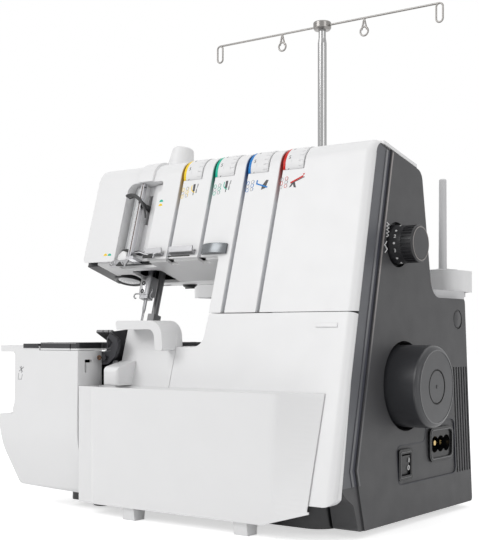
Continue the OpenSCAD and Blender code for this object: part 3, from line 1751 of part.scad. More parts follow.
module stand_bracket() place() color([0.8, 0.8, 0.8]) {
  difference() {
    union() {
      // Arms from the shelf, and the plate on them
      for (x = [34, 94])
        along_z(shelf_z + 0.2, stand_z)
          round_rect([x, column_back_y + 17], [x + 32, stand_front_y + 20], 5);
      along_z(shelf_z + 3, stand_z) intersection() {
        stand_plan(wall + 3);
        translate([-60, 0]) square([220, 300]);
      }
    }
    for (x = [40, 100])
      translate([x, 80, shelf_z - 10]) cylinder(h = 40, r = 2.2);
    translate([stand_mid_x, stand_mid_y, 0]) cylinder(h = 400, r = mast_r + 1.6);
  }
}

module spool_pins() place() color([0.88, 0.88, 0.88]) {
  for (x = pin_x)
    translate([x, stand_mid_y, stand_z + 3]) rotate_extrude() outline(
      [
        [0, 0], [pin_r - 0.6, 0], [pin_r - 0.6, stand_h - 3], [pin_r + 0.2, stand_h - 3],
        [pin_r - 0.2, stand_h - 3 + pin_h], [0, stand_h - 3 + pin_h],
      ],
      [0, 0, 0, 0, 1.5, 0]
    );
}

tube_joint_z = guide_z - 128;
tube_top_z = guide_z - 12;
tube_wall = 0.7;

// Places the mast's parts on its axis
module on_mast() {
  translate([stand_mid_x, stand_mid_y, 0]) children();
}

module mast_base() place() color(steel) {
  outer = mast_r + 1.5;
  on_mast() rotate_extrude() polygon([
    [mast_r + run_fit, stand_z - 4], [outer, stand_z - 4], [outer, tube_joint_z],
    [mast_r + run_fit, tube_joint_z],
  ]);
}

module mast_tube() place() color(steel) {
  inner = mast_r - tube_wall;
  on_mast() rotate_extrude() polygon([
    [inner, tube_joint_z - 20], [mast_r, tube_joint_z - 20], [mast_r, tube_top_z - 4],
    [mast_r - 0.6, tube_top_z], [inner, tube_top_z],
  ]);
}

module mast_top() place() color(steel) {
  on_mast() translate([0, 0, tube_top_z - 90])
    cylinder(h = guide_z - tube_top_z + 88, r = mast_r - tube_wall - run_fit);
}

eyelet_dx = [-45, 45];
guide_half = 120;

module thread_guide_bar() place() color(steel) {
  on_mast() {
    // Moulded cap that holds the wire
    difference() {
      translate([0, 0, guide_z - 4]) rotate_extrude()
        outline([[0, 0], [7, 0], [8.4, 2], [8.4, 8], [0, 8]], [0, 1, 1, 1.5, 0]);
      translate([0, 0, guide_z - 5]) cylinder(h = 3.2, r = mast_r - tube_wall - run_fit + 0.02);
    }
    rod_x(-guide_half, guide_half, [0, guide_z], wire_r);
    for (dx = eyelet_dx)
      translate([dx, 0, guide_z]) teardrop_loop();
    for (side = [-1, 1])
      translate([side * guide_half, 0, guide_z]) end_loop();
  }
}

loop_wire_r = wire_r - 0.12;

// Wire eyelet hanging below the bar
module teardrop_loop() {
  drop = 12;
  ring = 4;
  translate([0, 0, -drop]) rotate([90, 0, 0]) rotate_extrude() translate([ring, 0])
    circle(r = loop_wire_r, $fn = 24);
  for (side = [-1, 1])
    rotate([0, side * 14, 0]) translate([0, 0, -drop + 1])
      cylinder(h = drop - 1, r = loop_wire_r, $fn = 24);
}

// Oblong loop hanging at the end of the bar
module end_loop() {
  width = 3.2;
  length = 10;
  for (side = [-1, 1])
    translate([side * width, 0, -length - width]) cylinder(h = length, r = loop_wire_r, $fn = 24);
  for (end = [0, 1])
    translate([0, 0, -width - end * length]) rotate([90, 0, 0]) rotate([0, 0, end * 180])
      rotate_extrude(angle = 180) translate([width, 0]) circle(r = loop_wire_r, $fn = 24);
}

top_front_cover();
side_cover();
rear_cover();
head_end_cover();
head_bottom_cover();
column_side_cover();
base_cover();
base_pan();
rubber_feet();
base_frame();
looper_cover();
looper_cover_hinge();
waste_chute();
waste_tray();
free_arm_cover();
cloth_plate();
needle_plate();
bed_cover();
main_shaft();
main_pulley();
handwheel();
handwheel_cap();
drive_motor();
motor_pulley();
drive_belt();
stitch_length_dial();
seam_width_knob();
pressure_knob();
power_rocker();
switch_bezel();
mains_inlet();
inlet_pins();
left_needle_dial();
right_needle_dial();
upper_looper_dial();
lower_looper_dial();
dial_rod();
needle_bar();
needle_clamp();
needles();
presser_bar();
presser_foot();
presser_lifter();
upper_knife();
lower_knife();
upper_looper();
lower_looper();
feed_dogs();
take_up_lever();
take_up_guide();
head_thread_guides();
looper_thread_guides();
spool_stand();
stand_bracket();
spool_pins();
mast_base();
mast_tube();
mast_top();
thread_guide_bar();
work_lamp();
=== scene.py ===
"""Looks of the serger: studio, camera, materials of every part and the fine surface detail."""

import json
import math

import bpy
import bmesh
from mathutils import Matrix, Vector

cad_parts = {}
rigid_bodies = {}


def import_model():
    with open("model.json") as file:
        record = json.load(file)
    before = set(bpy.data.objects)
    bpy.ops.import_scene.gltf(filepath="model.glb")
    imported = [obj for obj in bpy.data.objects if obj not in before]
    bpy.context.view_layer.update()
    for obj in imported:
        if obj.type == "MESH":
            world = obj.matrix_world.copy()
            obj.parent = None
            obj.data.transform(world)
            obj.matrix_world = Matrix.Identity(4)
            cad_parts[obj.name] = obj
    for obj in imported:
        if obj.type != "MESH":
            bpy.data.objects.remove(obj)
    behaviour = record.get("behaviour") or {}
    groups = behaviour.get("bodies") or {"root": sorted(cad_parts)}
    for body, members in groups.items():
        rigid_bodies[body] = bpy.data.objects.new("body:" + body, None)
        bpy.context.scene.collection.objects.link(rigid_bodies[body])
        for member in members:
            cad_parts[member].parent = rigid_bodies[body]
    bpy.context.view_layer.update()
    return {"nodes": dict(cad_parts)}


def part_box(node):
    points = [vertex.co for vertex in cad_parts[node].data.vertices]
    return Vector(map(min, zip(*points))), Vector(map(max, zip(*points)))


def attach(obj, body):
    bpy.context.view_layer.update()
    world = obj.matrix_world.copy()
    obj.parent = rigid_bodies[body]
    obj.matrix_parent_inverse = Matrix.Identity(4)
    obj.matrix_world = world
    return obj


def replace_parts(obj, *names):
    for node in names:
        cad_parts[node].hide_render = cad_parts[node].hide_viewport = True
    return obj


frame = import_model()

# ---- The outlines' datum and main planes of part.scad, in metres ----

MM = 0.001
DATUM_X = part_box("free_arm_cover")[0].x + 189 * MM
DATUM_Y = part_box("waste_tray")[0].y + 120 * MM
FRONT_FOOT_Y = -121.0
FRONT_LEAN = 0.288
SIDE_FOOT_X = 140.0
SIDE_DRAFT = 0.04
BROW_Z = 290.0
TOP_FALL = 0.228
LEAN = math.atan(FRONT_LEAN)
HEAD_LOW_Z = 188
BED_Z = 136
DECK_Z = 197
PAN_Z = 5
BASE_BACK_Y = 106
ARM_FRONT_Y = -115.5


def at(x, y, z):
    """Point of the row frame for a point of part.scad's outlines, in millimetres."""
    return Vector((DATUM_X + x * MM, DATUM_Y + y * MM, z * MM))


def front_y(z):
    return FRONT_FOOT_Y + FRONT_LEAN * z


# ---- Studio ----

PHOTO_SIZE = (479, 540)
FOCAL_PIXELS = 1090
HORIZON_SHIFT = 64
CAMERA_AT = (524.1, -735.8, 143.0)
CAMERA_AZIMUTH = 36.6
WORLD_LIGHT = 0.53


def make_camera():
    data = bpy.data.cameras.new("camera")
    data.sensor_width = 36
    data.sensor_fit = "AUTO"
    data.lens = FOCAL_PIXELS / PHOTO_SIZE[1] * data.sensor_width
    data.shift_y = HORIZON_SHIFT / PHOTO_SIZE[1]
    data.clip_end = 50
    camera = bpy.data.objects.new("camera", data)
    camera.location = at(*CAMERA_AT)
    camera.rotation_euler = (math.pi / 2, 0, math.radians(CAMERA_AZIMUTH))
    bpy.context.collection.objects.link(camera)
    bpy.context.scene.camera = camera
    return camera


def add_light(name, place, target, size, power, colour=(1, 1, 1)):
    data = bpy.data.lights.new(name, "AREA")
    data.shape = "RECTANGLE"
    data.size, data.size_y = size
    data.energy = power
    data.color = colour
    lamp = bpy.data.objects.new(name, data)
    lamp.location = place
    lamp.rotation_euler = (Vector(target) - Vector(place)).to_track_quat("-Z", "Y").to_euler()
    bpy.context.collection.objects.link(lamp)


def seen_directly(nodes, links):
    """Socket that is 1 for what the camera sees directly, in a mirror or through glass."""
    path = nodes.new("ShaderNodeLightPath")
    seen = path.outputs["Is Camera Ray"]
    for name in ("Is Transmission Ray", "Is Glossy Ray"):
        either = nodes.new("ShaderNodeMath")
        either.operation = "MAXIMUM"
        links.new(seen, either.inputs[0])
        links.new(path.outputs[name], either.inputs[1])
        seen = either.outputs[0]
    return seen


def make_world():
    world = bpy.data.worlds.new("studio")
    bpy.context.scene.world = world
    world.use_nodes = True
    nodes, links = world.node_tree.nodes, world.node_tree.links
    nodes.clear()
    lit = nodes.new("ShaderNodeBackground")
    lit.inputs["Color"].default_value = (1, 1, 1, 1)
    lit.inputs["Strength"].default_value = WORLD_LIGHT
    white = nodes.new("ShaderNodeBackground")
    white.inputs["Color"].default_value = (1, 1, 1, 1)
    white.inputs["Strength"].default_value = 1.0
    mix = nodes.new("ShaderNodeMixShader")
    out = nodes.new("ShaderNodeOutputWorld")
    links.new(seen_directly(nodes, links), mix.inputs["Fac"])
    links.new(lit.outputs[0], mix.inputs[1])
    links.new(white.outputs[0], mix.inputs[2])
    links.new(mix.outputs[0], out.inputs["Surface"])


def make_floor():
    mesh = bpy.data.meshes.new("floor")
    half = 6.0
    mesh.from_pydata(
        [(-half, -half, 0), (half, -half, 0), (half, half, 0), (-half, half, 0)], [], [(0, 1, 2, 3)]
    )
    floor = bpy.data.objects.new("floor", mesh)
    bpy.context.collection.objects.link(floor)
    material = bpy.data.materials.new("floor")
    material.use_nodes = True
    nodes, links = material.node_tree.nodes, material.node_tree.links
    nodes.clear()
    diffuse = nodes.new("ShaderNodeBsdfDiffuse")
    diffuse.inputs["Color"].default_value = (0.9, 0.9, 0.9, 1)
    glow = nodes.new("ShaderNodeEmission")
    glow.inputs["Strength"].default_value = 0.6
    none = nodes.new("ShaderNodeEmission")
    none.inputs["Strength"].default_value = 0.0
    mix = nodes.new("ShaderNodeMixShader")
    add = nodes.new("ShaderNodeAddShader")
    out = nodes.new("ShaderNodeOutputMaterial")
    links.new(seen_directly(nodes, links), mix.inputs["Fac"])
    links.new(none.outputs[0], mix.inputs[1])
    links.new(glow.outputs[0], mix.inputs[2])
    links.new(diffuse.outputs[0], add.inputs[0])
    links.new(mix.outputs[0], add.inputs[1])
    links.new(add.outputs[0], out.inputs["Surface"])
    mesh.materials.append(material)


make_camera()
make_world()
make_floor()
add_light("key", (-0.9, -1.9, 1.5), (0, 0, 0.15), (1.4, 1.2), 21)
add_light("right", (2.1, -0.7, 0.9), (0, 0, 0.15), (1.0, 1.2), 7)
add_light("top", (0.1, 0.3, 2.2), (0, 0, 0.1), (1.8, 1.8), 8)
bpy.context.scene.view_settings.view_transform = "Standard"

# ---- Materials ----


class Graph:
    """Short hand for a material's nodes."""

    def __init__(self, name):
        self.material = bpy.data.materials.new(name)
        self.material.use_nodes = True
        self.nodes = self.material.node_tree.nodes
        self.links = self.material.node_tree.links
        self.shader = self.nodes["Principled BSDF"]
        self.coords = self.nodes.new("ShaderNodeTexCoord").outputs["Object"]

    def link(self, a, b):
        self.links.new(a, b)

    def noise(self, scale, detail=2.0, rough=0.5, vector=None):
        node = self.nodes.new("ShaderNodeTexNoise")
        node.inputs["Scale"].default_value = scale
        node.inputs["Detail"].default_value = detail
        node.inputs["Roughness"].default_value = rough
        self.link(self.coords if vector is None else vector, node.inputs["Vector"])
        return node.outputs["Fac"]

    def stretched(self, x, y, z):
        node = self.nodes.new("ShaderNodeMapping")
        node.inputs["Scale"].default_value = (x, y, z)
        self.link(self.coords, node.inputs["Vector"])
        return node.outputs["Vector"]

    def ramp(self, value, low, high, low_out, high_out):
        node = self.nodes.new("ShaderNodeMapRange")
        for socket, v in zip(("From Min", "From Max", "To Min", "To Max"), (low, high, low_out, high_out)):
            node.inputs[socket].default_value = v
        self.link(value, node.inputs["Value"])
        return node.outputs["Result"]

    def mix(self, fac, a, b):
        node = self.nodes.new("ShaderNodeMix")
        node.data_type = "RGBA"
        self.link(fac, node.inputs["Factor"])
        for socket, v in ((node.inputs[6], a), (node.inputs[7], b)):
            if isinstance(v, tuple):
                socket.default_value = (*v, 1)
            else:
                self.link(v, socket)
        return node.outputs[2]

    def axis(self, name):
        node = self.nodes.new("ShaderNodeSeparateXYZ")
        self.link(self.coords, node.inputs[0])
        return node.outputs[name]

    def bump(self, height, distance, strength=1.0, under=None):
        node = self.nodes.new("ShaderNodeBump")
        node.inputs["Strength"].default_value = strength
        node.inputs["Distance"].default_value = distance
        self.link(height, node.inputs["Height"])
        if under is not None:
            self.link(under, node.inputs["Normal"])
        return node.outputs["Normal"]

    def soft_edges(self, radius):
        node = self.nodes.new("ShaderNodeBevel")
        node.samples = 4
        node.inputs["Radius"].default_value = radius
        return node.outputs["Normal"]


def moulded(
    name, colour, rough, grain=0.00002, grain_scale=1800, mottle=0.02, metallic=0.0, coat=0.0, edge=0.0,
    spread=0.04, brushed=None, tint=None, sheen=0.5,
):
    """Moulded, painted or ground surface: fine grain, faint mottle, uneven gloss and broken edges.

    tint is (axis, low, high, colour): the colour turns to the tint's along that axis.
    """
    g = Graph(name)
    light = tuple(min(1, c * (1 + mottle)) for c in colour)
    deep = tuple(c * (1 - mottle) for c in colour)
    base = g.mix(g.ramp(g.noise(35, 3), 0.3, 0.7, 0, 1), deep, light)
    if tint:
        axis, low, high, other = tint
        base = g.mix(g.ramp(g.axis(axis), low, high, 0, 1), base, other)
    g.link(base, g.shader.inputs["Base Color"])
    gloss = g.noise(60, 3) if brushed is None else g.noise(900, 2, vector=g.stretched(*brushed))
    g.link(g.ramp(gloss, 0.3, 0.7, max(0.02, rough - spread), rough + spread), g.shader.inputs["Roughness"])
    under = g.soft_edges(edge) if edge else None
    relief = g.noise(grain_scale, 2) if brushed is None else gloss
    g.link(g.bump(relief, grain, under=under), g.shader.inputs["Normal"])
    g.shader.inputs["Metallic"].default_value = metallic
    g.shader.inputs["Specular IOR Level"].default_value = sheen
    if coat:
        g.shader.inputs["Coat Weight"].default_value = coat
        g.shader.inputs["Coat Roughness"].default_value = 0.2
    return g.material


WHITE = (0.80, 0.80, 0.805)
DARK = (0.046, 0.046, 0.049)
GROOVE = (0.74, 0.75, 0.77)
DIAL_COLOURS = {
    "yellow": (0.92, 0.64, 0.015),
    "green": (0.0, 0.48, 0.32),
    "blue": (0.0, 0.19, 0.56),
    "red": (0.58, 0.012, 0.006),
}
# Colours of the dials' painted reflections on the channel walls
DIAL_REFLECTION_PAINT = {
    "yellow": (0.46, 0.33, 0.14),
    "green": (0.06, 0.27, 0.22),
    "blue": (0.08, 0.15, 0.30),
    "red": (0.44, 0.13, 0.12),
}
DIALS = {
    "yellow": "left_needle_dial",
    "green": "right_needle_dial",
    "blue": "upper_looper_dial",
    "red": "lower_looper_dial",
}
DIAL_BODIES = {"yellow": "dial_1", "green": "dial_2", "blue": "dial_3", "red": "dial_4"}
CHANNEL_X, CHANNEL_PITCH, CHANNEL_W, CHANNEL_DEPTH = -50.6, 32.9, 3.8, 9.0
DIAL_INSET, RING_W = 2.3, 3.0

materials = {
    "white": moulded("white_abs", WHITE, 0.36, mottle=0.008, edge=0.0004),
    "dark": moulded("dark_abs", DARK, 0.5, grain=0.00005, grain_scale=1500, mottle=0.05, edge=0.0004),
    "strip": moulded("strip_abs", (0.094, 0.097, 0.108), 0.45, grain=0.00004, mottle=0.04),
    # Near black for the painted shadow in grooves and along recess lines
    "groove_painted_shadow": moulded("groove_painted_shadow", (0.026, 0.028, 0.04), 0.5, mottle=0.06),
    # Painted highlight along edges: dark grey low down, lighter tan grey towards the top
    "edge_painted_highlight": moulded("edge_painted_highlight", (0.10, 0.10, 0.105), 0.35, tint=("Z", 0.11, 0.19, (0.27, 0.25, 0.245))),
    # Dark rib plastic with a painted highlight that gets lighter towards the top
    "rib": moulded("rib_abs", (0.10, 0.102, 0.112), 0.35, tint=("Z", 0.13, 0.21, (0.19, 0.19, 0.2))),
    "jet": moulded("jet_abs", (0.006, 0.006, 0.007), 0.3, mottle=0.1, edge=0.0003, sheen=0.3),
    "wheel": moulded("wheel_abs", (0.034, 0.035, 0.039), 0.32, grain=0.00002, mottle=0.04),
    "dome": moulded("dome_steel", (0.17, 0.18, 0.19), 0.22, grain=2e-6, metallic=0.7),
    "needle_steel": moulded("needle_steel", (0.30, 0.30, 0.31), 0.35, grain=1e-6, metallic=0.8),
    # Grey lines and rings of painted highlight on the edges of dark parts
    "grey_painted_highlight": moulded("grey_painted_highlight", (0.13, 0.13, 0.135), 0.35, mottle=0.05),
    "bed_edge": moulded("bed_edge", (0.22, 0.22, 0.225), 0.3, mottle=0.05),
    "plate": moulded(
        "plate_paint", WHITE, 0.33, mottle=0.01, edge=0.0003,
        tint=("Z", 0.1312, 0.1315, (0.022, 0.022, 0.025)),
    ),
    "black": moulded("black_abs", (0.016, 0.016, 0.018), 0.38, mottle=0.08, edge=0.0003),
    # Black of the painted shade in slots, gaps, joints, throats and holes
    "painted_gap_shade": moulded("painted_gap_shade", (0.01, 0.01, 0.01), 0.6, mottle=0.1),
    "rubber": moulded("rubber", (0.022, 0.022, 0.022), 0.75, mottle=0.1),
    "cast": moulded("cast_metal", (0.42, 0.42, 0.43), 0.45, grain=0.00008, grain_scale=900, metallic=0.9),
    "steel": moulded("ground_steel", (0.50, 0.50, 0.51), 0.3, metallic=1.0, brushed=(1, 1, 0.04)),
    "satin": moulded("satin_steel", (0.34, 0.34, 0.35), 0.36, metallic=0.85, brushed=(1, 1, 0.05)),
    "wire": moulded("guide_wire", (0.26, 0.25, 0.24), 0.24, grain=5e-7, metallic=0.9),
    "tube": moulded("mast_tube", (0.36, 0.36, 0.36), 0.2, grain=5e-7, metallic=1.0, brushed=(1, 1, 0.03)),
    "chrome": moulded("chrome", (0.56, 0.56, 0.58), 0.14, grain=5e-7, metallic=1.0),
    "guide": moulded("guide_steel", (0.40, 0.40, 0.41), 0.4, grain=5e-7, metallic=0.85),
    "bar": moulded("presser_steel", (0.19, 0.19, 0.195), 0.35, metallic=0.6, brushed=(1, 1, 0.05)),
    "dark_steel": moulded("blackened_steel", (0.045, 0.045, 0.05), 0.34, metallic=0.6, edge=0.0002),
    "bed": moulded("bed_paint", (0.022, 0.022, 0.025), 0.33, mottle=0.06, edge=0.0003),
    "belt": moulded("belt", (0.015, 0.015, 0.015), 0.7, mottle=0.1),
    "grey": moulded("grey_abs", (0.60, 0.60, 0.61), 0.42, mottle=0.02, edge=0.0003),
    "panel": moulded("recess_panel", (0.50, 0.505, 0.51), 0.3, metallic=0.25, brushed=(1, 1, 0.03)),
    "groove": moulded("channel_wall", GROOVE, 0.5, mottle=0.03),
    "shade": moulded("recess_shade", (0.30, 0.30, 0.31), 0.5, mottle=0.03),
    "brown": moulded("brown_line", (0.16, 0.085, 0.05), 0.4, mottle=0.08),
    "print": moulded("grey_print", (0.30, 0.30, 0.31), 0.5, mottle=0.03),
    "print_dark": moulded("dark_print", (0.045, 0.045, 0.05), 0.5, mottle=0.05),
    "print_white": moulded("white_print", (0.74, 0.74, 0.74), 0.5, mottle=0.02),
    "brass": moulded("brass", (0.65, 0.47, 0.2), 0.25, metallic=1.0),
    "copper": moulded("screw_bronze", (0.16, 0.085, 0.05), 0.35, metallic=0.7),
    "lens": moulded("lamp_lens", (0.62, 0.63, 0.65), 0.16, mottle=0.02, coat=0.4),
}
for index, (colour, rgb) in enumerate(DIAL_COLOURS.items()):
    ring_x = (DATUM_X * 1000 + CHANNEL_X + index * CHANNEL_PITCH + DIAL_INSET + RING_W) * MM
    materials[colour] = moulded(f"print_{colour}", rgb, 0.35, mottle=0.03, sheen=0.25)
    materials[f"dial_{colour}"] = moulded(
        f"dial_{colour}", rgb, 0.34, mottle=0.02, sheen=0.25,
        tint=("X", ring_x - 0.00001, ring_x + 0.00001, WHITE),
    )
    # Channel walls with the painted reflection of the dial's colour towards the top
    materials[f"channel_{colour}"] = moulded(
        f"channel_{colour}", GROOVE, 0.4, mottle=0.03, tint=("Z", 0.243, 0.272, DIAL_REFLECTION_PAINT[colour])
    )

FINISH = {
    "white": (
        "top_front_cover head_bottom_cover column_side_cover looper_cover waste_chute waste_tray "
        "free_arm_cover bed_cover seam_width_knob pressure_knob spool_stand"
    ),
    "dark": "side_cover rear_cover head_end_cover base_cover",
    "wheel": "handwheel handwheel_cap",
    "jet": "power_rocker switch_bezel mains_inlet",
    "black": "base_pan stitch_length_dial presser_lifter main_pulley take_up_lever",
    "rubber": "rubber_feet",
    "cast": "base_frame drive_motor",
    "steel": (
        "main_shaft motor_pulley dial_rod lower_knife upper_looper lower_looper "
        "feed_dogs needle_plate looper_cover_hinge looper_thread_guides"
    ),
    "satin": "needle_clamp",
    "chrome": "needle_bar take_up_guide",
    "needle_steel": "needles",
    "guide": "head_thread_guides",
    "tube": "mast_base mast_tube mast_top",
    "wire": "thread_guide_bar",
    "bar": "presser_bar presser_foot",
    "dark_steel": "upper_knife",
    "plate": "cloth_plate",
    "belt": "drive_belt",
    "grey": "stand_bracket spool_pins",
    "brass": "inlet_pins",
    "lens": "work_lamp",
}
FINISH.update({f"dial_{colour}": node for colour, node in DIALS.items()})


# Finishes of the nodes whose facets are shaded as one curved surface
SOFTENED = {"white", "dark", "black", "grey", "guide", "dark_steel", "bar"}
SOFTENED.update(f"dial_{colour}" for colour in DIAL_COLOURS)


def soften(mesh, limit=math.radians(28)):
    """Smooth shading across facets that meet within the limit; no vertex moves."""
    meeting = {}
    for face in mesh.polygons:
        for i in face.loop_indices:
            co = mesh.vertices[mesh.loops[i].vertex_index].co
            place = tuple(round(c * 1e6) for c in co)
            meeting.setdefault(place, []).append((i, face))
    least = math.cos(limit)
    normals = [Vector((0, 0, 1))] * len(mesh.loops)
    for group in meeting.values():
        facets = [(face.normal.copy(), face.area) for _, face in group]
        for (i, _), (normal, _) in zip(group, facets):
            total = Vector((0, 0, 0))
            for other, area in facets:
                if normal.dot(other) > least:
                    total += other * area
            normals[i] = total.normalized() if total.length > 0 else normal
    for face in mesh.polygons:
        face.use_smooth = True
    mesh.normals_split_custom_set(normals)


def dress_nodes():
    for finish, names in FINISH.items():
        for name in names.split():
            mesh = frame["nodes"][name].data
            mesh.materials.clear()
            mesh.materials.append(materials[finish])
            if finish in SOFTENED:
                soften(mesh)
    # The domed guide by the second channel is darker than the plates
    guides = frame["nodes"]["head_thread_guides"].data
    guides.materials.append(materials["dome"])
    for face in guides.polygons:
        if face.center.x > at(-18, 0, 0).x:
            face.material_index = 1


dress_nodes()

# ---- Drawing kit ----


def plane(origin, u, v):
    """Place (u, v, h) millimetres on a flat face, h along its outward normal."""
    a, b = Vector(u).normalized(), Vector(v).normalized()
    n = a.cross(b)
    return lambda x, y, h=0.0: origin + (x * a + y * b + h * n) * MM


ON_LEAN = plane(at(0, FRONT_FOOT_Y, 0), (1, 0, 0), (0, math.sin(LEAN), math.cos(LEAN)))
ON_SIDE = plane(at(SIDE_FOOT_X, 0, 0), (0, 1, 0), (-SIDE_DRAFT, 0, 1))
ON_NEEDLE = plane(at(-95, -45, BED_Z), (1, 0, 0), (0, math.sin(LEAN), math.cos(LEAN)))
BROW = (-26.3, 271.0)
BROW_R = 16.0
DIAL_R = 16.6


def front(x, z, h=0.0):
    return ON_LEAN(x, z / math.cos(LEAN), h)


def side(y, z, h=0.0):
    return ON_SIDE(y, z, h)


def section(y, z, x):
    """Place on a section across the machine, drawn out along X."""
    return at(x, y, z)


def facing(y):
    """Vertical face that looks to the front at depth y."""
    return plane(at(0, y, 0), (1, 0, 0), (0, 0, 1))


def looking_right(x):
    return plane(at(x, 0, 0), (0, 1, 0), (0, 0, 1))


def looking_up(z):
    return plane(at(0, 0, z), (1, 0, 0), (0, 1, 0))


def looking_down(z):
    """Level face that looks down; its v runs to the front."""
    return plane(at(0, 0, z), (1, 0, 0), (0, -1, 0))


def looking_back(y):
    """Vertical face that looks to the back; its u runs to the left."""
    return plane(at(0, y, 0), (-1, 0, 0), (0, 0, 1))


def drum(x0, centre, r):
    """Place on a cylinder along X: u across it, v round it from the leaning front."""

    def place(u, v, h=0.0):
        a = LEAN + v / r
        return at(x0 + u, centre[0] - (r + h) * math.cos(a), centre[1] + (r + h) * math.sin(a))

    return place


def skin(d, low_z, end_y):
    """(Y, Z) points of the front, brow and top, set in by d."""
    points = [(front_y(low_z) + d / math.cos(LEAN), low_z)]
    first, last = LEAN, math.pi / 2 + math.atan(TOP_FALL)
    for k in range(13):
        a = first + (last - first) * k / 12
        points.append((BROW[0] - (BROW_R - d) * math.cos(a), BROW[1] + (BROW_R - d) * math.sin(a)))
    brow_y = front_y(BROW_Z)
    points.append((end_y, BROW_Z - TOP_FALL * (end_y - brow_y) - d / math.cos(math.atan(TOP_FALL))))
    return points


def rect(u0, v0, u1, v1):
    return [(u0, v0), (u1, v0), (u1, v1), (u0, v1)]


def arc(u, v, r, first, last, steps=12, ratio=1.0):
    """Points of an arc, angles in degrees."""
    turn = [math.radians(first + (last - first) * k / steps) for k in range(steps + 1)]
    return [(u + r * math.cos(a), v + r * ratio * math.sin(a)) for a in turn]


def disc(u, v, r, steps=24, ratio=1.0):
    return arc(u, v, r, 0, 360, steps, ratio)[:-1]


def rounded(points, radius, steps=5):
    """Closed outline with its corners rounded; radius is one number or one for each corner."""
    out = []
    count = len(points)
    for i, p in enumerate(points):
        r = radius[i] if isinstance(radius, (list, tuple)) else radius
        p = Vector(p)
        a, b = Vector(points[i - 1]) - p, Vector(points[(i + 1) % count]) - p
        if r <= 0:
            out.append(tuple(p))
            continue
        half = a.angle(b) / 2
        reach = min(r / math.tan(half), 0.49 * a.length, 0.49 * b.length)
        first, last = p + a.normalized() * reach, p + b.normalized() * reach
        for k in range(steps + 1):
            t = k / steps
            out.append(tuple(first * (1 - t) ** 2 + p * 2 * t * (1 - t) + last * t**2))
    return out


def spline(points, steps=8):
    """Smooth line through points of any dimension."""
    pts = [Vector(p) for p in points]
    pts = [pts[0] * 2 - pts[1]] + pts + [pts[-1] * 2 - pts[-2]]
    out = []
    for i in range(1, len(pts) - 2):
        a, b, c, d = pts[i - 1 : i + 3]
        for k in range(steps):
            t = k / steps
            bend, twist = a * 2 - b * 5 + c * 4 - d, b * 3 - a - c * 3 + d
            out.append((b * 2 + (c - a) * t + bend * t**2 + twist * t**3) / 2)
    out.append(pts[-2])
    return out


# Undersides and tops of printed marks, in millimetres over the face
PRINT_LOW, PRINT_HIGH = -0.1, 0.08


